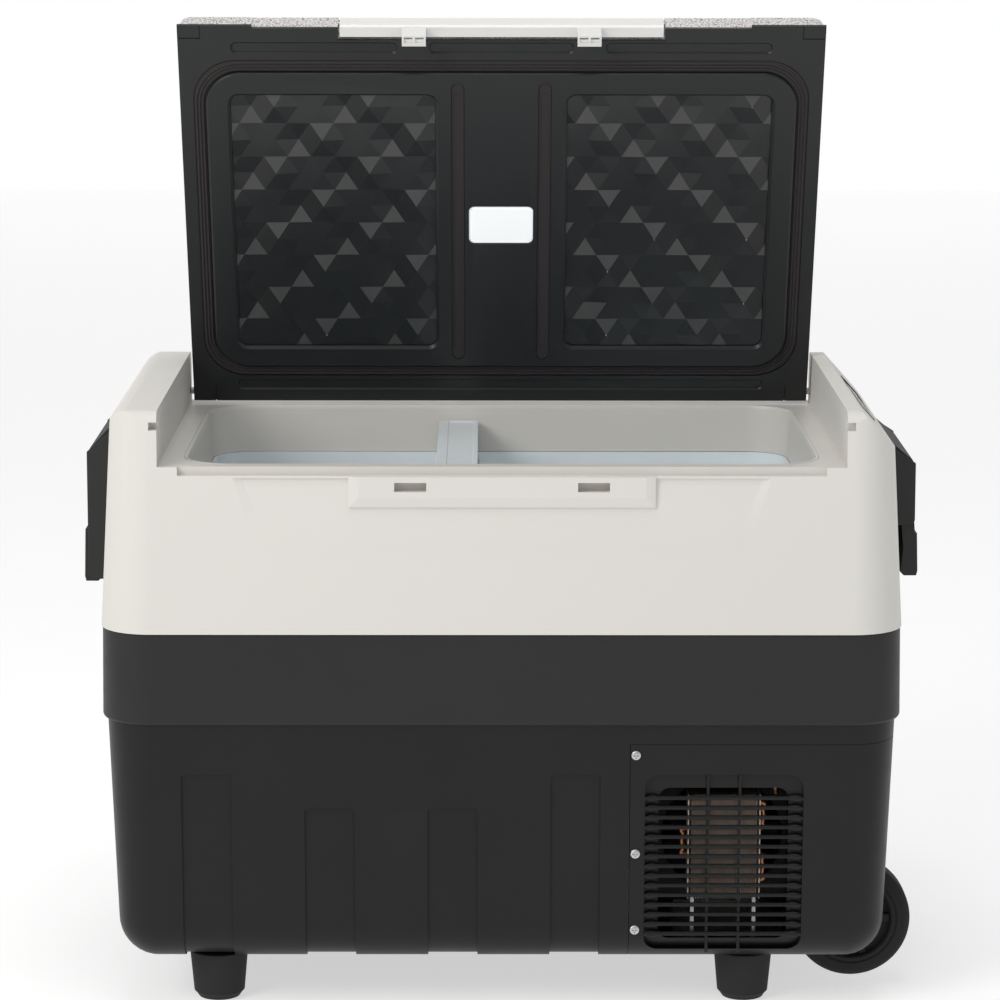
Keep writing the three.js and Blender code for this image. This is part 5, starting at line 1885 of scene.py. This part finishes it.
@dataclass
class MachineBay:
    """Everything behind the grilles, and the foam and the evaporator round the tub."""

    fin_start: float = 156.0
    fin_pitch: float = 1.75
    fin_count: int = 31
    fin_low: float = 94.0
    fin_high: float = 182.0
    fin_front: float = -166.0
    fin_rear: float = -140.0
    discharge: tuple[Place, ...] = (
        (236, -30, 178), (246, -50, 186), (250, -90, 192),
        (240, -130, 194), (226, -153, 190), (225, -153, 181),
    )
    suction: tuple[Place, ...] = (
        (150, 66, 176), (136, 84, 190), (124, 92, 204), (118, 96, 216), (116, 97, 226),
    )

    def build(self) -> None:
        """Make and place the pieces."""
        self._condenser()
        for node, points, radius in (
            ("discharge_pipe", self.discharge, 2.5), ("suction_pipe", self.suction, 3.1),
        ):
            pipe = bead(smooth_route(points), radius, COPPER, closed=False, sides=16)
            place(f"{node}_run", pipe, COPPER, "cabinet", [node], edge=0)
        self._compressor()
        for node, finish, body, edge in (
            ("fan_frame", BLACK, "cabinet", 0.8), ("fan_rotor", BLACK, "fan_rotor", 0.4),
            ("base_tray", STEEL, "cabinet", 0.8), ("control_board", BOARD, "cabinet", 0.5),
            ("filter_drier", COPPER, "cabinet", 1.2), ("supply_socket", BLACK, "cabinet", 0.5),
            ("insulation_foam", FOAM, "cabinet", 0.6), ("evaporator_plate", FINS, "cabinet", 0.4),
        ):
            place(f"{node}_body", Solid.of_node(node), finish, body, [node], edge=edge)

    def _condenser(self) -> None:
        """Make and place the condenser's fins, its tubes with their bends, and its end plates."""
        fin = Solid.box(-0.16, 0.16, self.fin_front, self.fin_rear, self.fin_low, self.fin_high)
        fins = repeat_row(
            fin, (self.fin_start, 0.0, 0.0), (self.fin_pitch, 0.0, 0.0), self.fin_count, FINS,
        )
        place("condenser_fins", fins, FINS, "cabinet", ["condenser"], edge=0)
        left = self.fin_start - 3
        right = self.fin_start + self.fin_pitch * (self.fin_count - 1) + 3
        route: list[Place] = []
        y = (self.fin_front + self.fin_rear) / 2 + 6
        for row in range(4):
            z = self.fin_low + 11 + row * 22
            ends = (left, right) if row % 2 == 0 else (right, left)
            out = 1 if row % 2 == 0 else -1
            route += [(ends[0], y, z), (ends[1], y, z)]
            if row < 3:
                route += [
                    (ends[1] + out * 3.2, y, z + 5), (ends[1] + out * 4.4, y, z + 11),
                    (ends[1] + out * 3.2, y, z + 17),
                ]
        place("condenser_tubes", bead(smooth_route(route, 6), 2.4, COPPER, closed=False, sides=14),
              COPPER, "cabinet", edge=0)
        plates = [
            Solid.box(
                x - 0.6, x + 0.6, self.fin_front + 1,
                self.fin_rear - 1, self.fin_low, self.fin_high,
            )
            for x in (left, right)
        ]
        place("condenser_end_plates", plates[0].with_bodies(plates[1]), FINS, "cabinet", edge=0.3)

    def _compressor(self) -> None:
        """Make and place the compressor's can, base and terminal box, and its grommets."""
        x, y, radius, low, high = 190.0, 4.0, 56.0, 66.0, 196.0
        seam, dome = radius + 2.5, high - 30
        profile = [
            (0.0, low), (radius * 0.55, low), (radius * 0.9, low + 10), (radius, low + 26),
            (radius, low + 62), (seam, low + 63), (seam, low + 68),
            (radius, low + 69), (radius, dome),
        ]
        angles = [i * 0.15 for i in range(1, 10)]
        profile += [(radius * math.cos(a) ** 0.6, dome + 30 * math.sin(a)) for a in angles]
        can = Solid.turned(profile + [(0.0, high)], x, y, 0, sides=72)
        base = Solid.block(66, 58, 16, x, y, low - 6, low + 4)
        terminals = Solid.box(x - radius - 10, x - radius + 6, y - 16, y + 16, low + 30, low + 62)
        holes = [
            Solid.rod(6.3, (x + a * 52, y + b * 46, low - 12), (x + a * 52, y + b * 46, low + 8))
            for a in SIDES for b in SIDES
        ]
        whole = can.join(base, terminals).cut(*holes)
        place("compressor_can", whole, ENAMEL, "cabinet", ["compressor"], edge=0.8)
        names = [f"compressor_grommet_{i}" for i in (1, 2, 3, 4)]
        grommets = [Solid.of_node(name) for name in names]
        together = grommets[0].with_bodies(*grommets[1:])
        place("compressor_grommets", together, RUBBER, "cabinet", names, edge=0.6)


# ---------------------------------------------------------------- lid, described closed


@dataclass(frozen=True)
class Patch:
    """Rounded rectangle on the lid's inner face, between limits in depth."""

    x: float
    half_x: float
    front: float
    rear: float
    corner: float

    @property
    def y(self) -> float:
        """Give the middle in depth."""
        return (self.front + self.rear) / 2

    def block(self, grow: float, low: float, high: float, steps: int = 8) -> Solid:
        """Make the block over the patch, grown outwards, between two heights.

        Args:
            grow: How far it is grown outwards.
            low: Height of its lower end.
            high: Height of its upper end.
            steps: Steps in each corner.

        Returns:
            The block.
        """
        return Solid.block(
            self.half_x + grow, (self.rear - self.front) / 2 + grow, self.corner + grow,
            self.x, self.y, low, high, steps,
        )

    def outline(self, grow: float, z: float) -> list[Place]:
        """Draw the patch's edge at a height.

        Args:
            grow: How far it is grown outwards.
            z: Its height.

        Returns:
            The edge's points.
        """
        half_y = (self.rear - self.front) / 2
        edge = rounded(self.half_x + grow, half_y + grow, self.corner + grow, self.x, self.y)
        return [(x, y, z) for x, y in edge]


@dataclass
class Lid:
    """Lid with its cover, liner, seals, faceted panels, lamp and hinge pins."""

    half_x: float = 272.6
    front: float = -193.5
    rear: float = 169.5
    bottom: float = 457.0
    corner: float = 9.0
    wall: float = 2.6
    step: float = 2.4
    step_half: float = 210.0
    crown: tuple[Point, ...] = (
        (460.3, 0.0), (470.0, 0.2), (475.0, 0.5), (477.4, 1.3), (479.0, 2.5), (481.6, 5.4),
        (485.0, 11.0), (488.6, 18.0), (492.0, 26.0), (494.9, 35.0), (497.0, 44.0), (498.6, 55.0),
        (499.6, 66.0),
    )
    plug: tuple[float, float, float, float] = (251.0, 142.0, -9.0, 30.0)
    plug_low: float = 453.5
    gasket: tuple[float, float, float] = (261.0, 152.6, 37.0)
    facet_pitch: float = 20.0
    facet_row: float = 15.8
    facet_height: float = 1.75
    facet_columns: int = 13
    facet_rows: int = 19
    sheet_depth: float = 6.0

    def build(self) -> None:
        """Make and place the lid's pieces."""
        place(
            "lid_cover_shell", self.cover(), LID_COAT, "lid", ["lid_cover"], edge=1.0, on_lid=True,
        )
        place(
            "lid_liner_tray", self.liner(), LID_INNER, "lid", ["lid_liner"], edge=0.55, on_lid=True,
        )
        place("lid_gasket_ring", self.seal(), SEAL, "lid", ["lid_gasket"], edge=0, on_lid=True)
        for side in SIDES:
            hand = HAND_NAMES[side]
            place(
                f"facet_panel_{hand}_sheet", self.facets(side), FACETS, "lid",
                [f"facet_panel_{hand}"], edge=0, on_lid=True, sharp=1.0,
            )
            place(
                f"divider_seal_{hand}_strip", self.strip(side), SEAL, "lid",
                [f"divider_seal_{hand}"], edge=0.7, on_lid=True,
            )
            place(f"hinge_pin_{hand}_pin", Solid.of_node(f"hinge_pin_{hand}"), STEEL, "cabinet",
                  [f"hinge_pin_{hand}"], edge=0.5)
        place("lamp_lens_cap", self.lens(), LENS, "lid", ["lamp_lens"], edge=0.5, on_lid=True)
        place("lid_foam_core", Solid.of_node("lid_foam"), FOAM, "lid", ["lid_foam"])

    @staticmethod
    def facet_patch(side: int) -> Patch:
        """Give the recess of one faceted panel."""
        return Patch(side * 143.0, 87.0, -130.0, 113.0, 8.0)

    @staticmethod
    def strip_patch(side: int) -> Patch:
        """Give the groove of one seal strip."""
        return Patch(side * 37.0, 5.3, -142.0, 125.0, 5.28)

    @staticmethod
    def lamp_patch() -> Patch:
        """Give the pocket of the lamp lens."""
        return Patch(0.0, 27.7, -25.3, 10.3, 5.0)

    def _block(self, grow: float, low: float, high: float) -> Solid:
        """Make a block over the whole lid, grown outwards, between two heights."""
        half_y, y = (self.rear - self.front) / 2, (self.front + self.rear) / 2
        return Solid.block(self.half_x + grow, half_y + grow, self.corner + grow, 0, y, low, high)

    def _form(self, offset: float, low: float) -> Solid:
        """Make the crowned form of the lid, moved inwards by an offset.

        Args:
            offset: How far it is moved inwards.
            low: Height of its lower end.

        Returns:
            The solid form.
        """
        half_y, y = (self.rear - self.front) / 2, (self.front + self.rear) / 2
        rings = []
        for row, (z, inset) in enumerate(self.crown):
            shrink = inset + offset
            corner = max(self.corner - offset, 3.0) + min(inset, 30.0)
            outline = rounded(self.half_x - shrink, half_y - shrink, corner, 0, y)
            rings.append((low if row == 0 else z - offset, outline))
        return Solid.upright(rings)

    def _rooms(self, grow: float) -> list[Solid]:
        """Make the hollows for the latch bar, the stepped front edge and the hinge blocks.

        Args:
            grow: How far each is grown.

        Returns:
            The bodies that cut the hollows.
        """
        rooms = [
            Solid.box(-137.5 - grow, 137.5 + grow, -FAR, -180.2 + grow, 440, 482 + grow),
            Solid.box(
                -self.step_half - grow, self.step_half + grow, -FAR, self.front + self.step + grow,
                400, 520,
            ),
        ]
        for side in SIDES:
            rooms.append(Solid.box(
                *slab(side, 253.4 - grow, 280), self.rear - 15 - grow, 200, 440, 472.5 + grow,
            ))
        return rooms

    def cover(self) -> Solid:
        """Shape the coated cover.

        Returns:
            The cover, open below.
        """
        cavity = self._form(self.wall, 450).cut(*self._rooms(self.wall))
        bore = Solid.rod(LATCH_BORE, (-145, *LATCH_AT), (145, *LATCH_AT))
        return self._form(0, self.crown[0][0]).cut(cavity, *self._rooms(0), bore)

    def liner(self) -> Solid:
        """Shape the black inner face, with its plug, groove, recesses and margin pockets.

        Returns:
            The inner face with its corner blocks.
        """
        half_x, half_y, y, corner = self.plug
        rings = [
            (z, rounded(half_x - shrink, half_y - shrink, corner - shrink, 0, y))
            for z, shrink in (
                (self.plug_low, 2.2), (self.plug_low + 0.25, 1.3), (self.plug_low + 0.9, 0.5),
                (self.plug_low + 2.0, 0.0), (463.4, 0.0),
            )
        ]
        body = self._block(0, self.bottom, 460).join(Solid.upright(rings))
        blocks = []
        for side in SIDES:
            blocks.append(
                Solid.box(*slab(side, 254, self.half_x), self.rear - 14.5, self.rear, 457.1, 472),
            )
            blocks.append(
                Solid.box(*slab(side, 254, self.half_x), self.front, self.front + 12, 457.1, 460.2),
            )
        seams = []
        for side in SIDES:
            seams.append(Solid.box(*slab(side, 253.2, 254), self.front - 1, -181.5, 440, 458.2))
            seams.append(Solid.box(*slab(side, 253.2, FAR), -182.3, -181.5, 440, 458.2))
            seams.append(Solid.box(*slab(side, 252.4, 253.2), 155, FAR, 440, 458.2))
        gasket_x, gasket_y, gasket_corner = self.gasket
        groove = Solid.block(gasket_x + GAP, gasket_y + GAP, gasket_corner, 0, y, 440, 458.6, 12)
        groove = groove.cut(Solid.block(half_x, half_y, corner, 0, y, 430, 470, 12))
        cuts = [groove, *seams, self.lamp_patch().block(GAP, 440, 458)]
        for side in SIDES:
            panel = self.facet_patch(side)
            cuts.append(panel.block(0, 440, 459.4))
            cuts.append(self._flare(panel, 2.6, self.plug_low + 2.4))
            cuts.append(self.strip_patch(side).block(GAP, 440, 456.5))
            cuts.append(Solid.rod(HINGE_BORE, (side * 256.5, *HINGE_AT), (side * FAR, *HINGE_AT)))
        margins = [Patch(x, half, -177, -169, 3.5) for x, half in ((-158, 69), (0, 60), (158, 69))]
        for margin in [*margins, Patch(0, 232, 149, 157, 3.5)]:
            cuts.append(margin.block(0, 440, self.bottom + 1.6))
            cuts.append(self._flare(margin, 1.5, self.bottom + 1.3))
        return body.join(*blocks).cut(*cuts, *self._rooms(0)[:2])

    @staticmethod
    def _flare(patch: Patch, width: float, top: float) -> Solid:
        """Shape a sloping rim round a recess, as wide as it is high."""
        return Solid.loft([patch.outline(width + 3, top - width - 3), patch.outline(0, top)])

    def seal(self) -> Solid:
        """Shape the gasket, a flat ring with three ridges that follow the plug.

        Returns:
            The gasket.
        """
        x, y_half, corner = self.gasket
        half_x, half_y, y, plug_corner = self.plug
        outer = Solid.upright([
            (z, rounded(x - shrink, y_half - shrink, corner - shrink, 0, y))
            for z, shrink in ((457.3, 0.6), (457.8, 0.2), (458.3, 0.2))
        ])
        flat = outer.cut(
            Solid.block(half_x + 0.8, half_y + 0.8, plug_corner + 0.8, 0, y, 440, 470, 12),
        )
        ridges = []
        for out in (2.4, 5.2, 8.0):
            edge = rounded(half_x + out, half_y + out + 0.3, plug_corner + out, 0, y, 16)
            ridges.append(bead([(a, b, 457.25) for a, b in edge], 0.95, SEAL))
        return flat.with_bodies(*ridges)

    def facets(self, side: int) -> Solid:
        """Shape one faceted panel.

        Args:
            side: -1 for the left panel, 1 for the right one.

        Returns:
            The panel.
        """
        patch = self.facet_patch(side)
        sheet = grow(
            facet_tree, FACETS, Pitch=self.facet_pitch, Row_Pitch=self.facet_row,
            Height=self.facet_height, Hand=-float(side), Uneven=0.12,
            # The second finish paints a highlight on the facets that slant one way.
            Second_Finish=FACETS_LINED_HIGHLIGHT.material(),
            Columns=self.facet_columns, Rows=self.facet_rows,
            Width=self.facet_pitch * (self.facet_columns - 1),
            Depth=self.facet_row * (self.facet_rows - 1),
        )
        with editing(sheet.mesh) as shape:
            rim = [edge for edge in shape.edges if edge.is_boundary]
            made = bmesh.ops.extrude_edge_only(shape, edges=rim)["geom"]
            for vert in (item for item in made if isinstance(item, bmesh.types.BMVert)):
                vert.co.z = -self.sheet_depth
            bottom = [edge for edge in shape.edges if edge.is_boundary]
            bmesh.ops.contextual_create(shape, geom=bottom)
            bmesh.ops.recalc_face_normals(shape, faces=shape.faces)
        turn = Matrix.Translation((patch.x, patch.y, 457.2)) @ Matrix.Scale(-1, 4, (0, 0, 1))
        return sheet.moved(turn).common(patch.block(-GAP, 455.4, 459.1))

    def strip(self, side: int) -> Solid:
        """Shape one seal strip, a flat bar with a shallow channel and closed ends.

        Args:
            side: -1 for the left strip, 1 for the right one.

        Returns:
            The strip.
        """
        patch = self.strip_patch(side)
        channel = Patch(patch.x, patch.half_x - 1.7, patch.front + 9, patch.rear - 9, 3.4)
        return patch.block(-0.02, 454.2, 456.2).cut(channel.block(0, 440, 454.7))

    def lens(self) -> Solid:
        """Shape the lamp's lens, a rim with a raised pane.

        Returns:
            The lens.
        """
        patch = self.lamp_patch()
        rim = patch.block(-0.02, 455.0, 457.7)
        groove = patch.block(-1.6, 440, 455.6)
        pane = patch.block(-2.4, 454.4, 457.0)
        return rim.cut(groove).join(pane)


@dataclass
class Latch:
    """Latch bar that swings on a pin along the lid's front edge."""

    half_x: float = 136.0
    front: float = -193.5
    back: float = -183.2
    low: float = 457.3
    high: float = 476.0
    tip: float = 440.5
    hook_x: float = 73.5

    def build(self) -> None:
        """Make and place the bar and its pin."""
        place(
            "latch_bar_body", self.bar(), LATCH_WHITE,
            "latch", ["latch_bar"], edge=0.7, on_lid=True,
        )
        place("latch_pin_rod", Solid.of_node("latch_pin"), STEEL, "lid", ["latch_pin"], edge=0.4)

    def bar(self) -> Solid:
        """Shape the bar with its two hooks.

        Returns:
            The bar.
        """
        f, b, low, high = self.front, self.back, self.low, self.high
        section = [
            (f + 1.5, low), (b, low), (b, high - 3), (b - 3, high), (f + 3, high), (f, high - 3),
            (f, low + 2),
        ]
        bar = Solid.along_x(section, -self.half_x, self.half_x)
        y, z = LATCH_AT
        scoop = Solid.box(-self.half_x + 8, self.half_x - 8, b - 3, b + 2, low + 3, z - 6)
        bar = bar.cut(scoop)
        for side in SIDES:
            x = side * self.hook_x
            tongue = Solid.box(x - 10, x + 10, f + 2, f + 6, self.tip, low + 2)
            lip = Solid.along_x([
                (f + 5, self.tip), (f + 11.5, self.tip + 0.5),
                (f + 11.5, self.tip + 1.6), (f + 5, self.tip + 2.6),
            ], x - 10, x + 10)
            rib = Solid.box(x - 1, x + 1, f + 5, f + 9, self.tip + 1.5, low + 2)
            aside = Matrix.Translation((x, 0, 0))
            pockets = [
                Solid.box(*slab(edge, 1.1, 8.2), f + 3.3, back, self.tip - 1, self.tip + depth)
                for edge in SIDES
                for back, depth in ((f + 5.4, 6.0), (f + 8.1, 1.35))
            ]
            bar = bar.join(tongue, lip, rib).cut(*[pocket.moved(aside) for pocket in pockets])
        return bar.cut(Solid.rod(LATCH_BORE, (-self.half_x - 2, y, z), (self.half_x + 2, y, z)))


# ---------------------------------------------------------------- studio


@dataclass
class Studio:
    """Camera, soft lights and pale floor."""

    camera_at: Place = (-14.6, -3022.1, 945.9)
    sensor: float = 36.0
    focal_length: float = 129.8916
    pitch: float = 10.3
    yaw: float = 0.26
    roll: float = 0.09
    room_light: float = 0.36
    aim: Place = (0.0, 0.0, 0.35)
    floor_half: float = 30.0
    backdrop_y: float = 7.0

    def build(self) -> None:
        """Set up the camera, the lights, the floor and the world."""
        self._camera()
        self._world()
        self._floor()
        self._backdrop()
        self._light("key", (-2.1, -2.0, 2.2), 1.4, 46.0, (1.0, 0.985, 0.965))
        self._light("fill", (2.4, -2.4, 0.9), 1.6, 4.0, (0.96, 0.98, 1.0))
        self._light("top", (0.0, -0.7, 2.9), 1.2, 21.0, (1.0, 1.0, 1.0))

    def _camera(self) -> None:
        """Add the camera, a little above the cooler's front."""
        p, w, roll = math.radians(self.pitch), math.radians(self.yaw), math.radians(self.roll)
        forward = Vector((math.sin(w) * math.cos(p), math.cos(w) * math.cos(p), -math.sin(p)))
        right = Vector((math.cos(w), -math.sin(w), 0.0))
        up = right.cross(forward)
        tilted = right * math.cos(roll) + up * math.sin(roll)
        lens = bpy.data.cameras.new("view")
        lens.sensor_width = self.sensor
        lens.lens = self.focal_length
        lens.clip_end = 50.0
        camera = bpy.data.objects.new("view", lens)
        camera.matrix_world = Matrix.Translation(Vector(self.camera_at) * MM) @ Matrix(
            (tilted, tilted.cross(forward), -forward),
        ).transposed().to_4x4()
        bpy.context.scene.collection.objects.link(camera)
        bpy.context.scene.camera = camera

    def _light(self, name: str, spot: Place, size: float, power: float, colour: Colour) -> None:
        """Add a soft light that faces the cooler.

        Args:
            name: Name of the light.
            spot: Its place in metres.
            size: Width of its face in metres.
            power: Power in watts.
            colour: Linear colour.
        """
        light = bpy.data.lights.new(name, "AREA")
        light.size, light.energy, light.color = size, power, colour
        lamp = bpy.data.objects.new(name, light)
        lamp.location = spot
        facing = Vector(self.aim) - Vector(spot)
        lamp.rotation_euler = facing.to_track_quat("-Z", "Y").to_euler()
        bpy.context.scene.collection.objects.link(lamp)

    def _world(self) -> None:
        """Light the room evenly, and keep colours as they are."""
        world = bpy.data.worlds.new("room")
        world.use_nodes = True
        background = world.node_tree.nodes["Background"]
        background.inputs["Color"].default_value = (1.0, 1.0, 1.0, 1.0)
        background.inputs["Strength"].default_value = self.room_light
        bpy.context.scene.world = world
        bpy.context.scene.view_settings.view_transform = "Standard"

    def _floor(self) -> None:
        """Add the floor with a finely mottled pale finish."""
        r = self.floor_half
        mesh = bpy.data.meshes.new("floor")
        mesh.from_pydata([(-r, -r, 0), (r, -r, 0), (r, r, 0), (-r, r, 0)], [], [(0, 1, 2, 3)])
        mesh.materials.append(PALE_FLOOR.material())
        host(mesh, "floor")

    def _backdrop(self) -> None:
        """Add a white backdrop behind the cooler that glows like a lit studio wall."""
        glow = bpy.data.materials.new("backdrop")
        glow.use_nodes = True
        shader = glow.node_tree.nodes["Principled BSDF"]
        shader.inputs["Base Color"].default_value = (0.0, 0.0, 0.0, 1.0)
        shader.inputs["Specular IOR Level"].default_value = 0.0
        shader.inputs["Emission Color"].default_value = (1.0, 1.0, 1.0, 1.0)
        shader.inputs["Emission Strength"].default_value = 1.0
        mesh = bpy.data.meshes.new("backdrop")
        y = self.backdrop_y
        mesh.from_pydata([(-9, y, -0.5), (9, y, -0.5), (9, y, 7), (-9, y, 7)], [], [(0, 1, 2, 3)])
        mesh.materials.append(glow)
        host(mesh, "backdrop")


def main() -> None:
    """Build the cooler from the ground up, then light it."""
    logging.basicConfig(level=logging.INFO, format="%(message)s")
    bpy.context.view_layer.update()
    for assembly in (
        LowerBody(), BayCover(), UpperShell(), Opening(), MachineBay(), GroundGear(), Handles(),
        ControlPanel(), Lid(), Latch(),
    ):
        LOG.info("%s", type(assembly).__name__)
        assembly.build()
    Studio().build()
    bpy.context.view_layer.update()


if __name__ == "__main__":
    main()
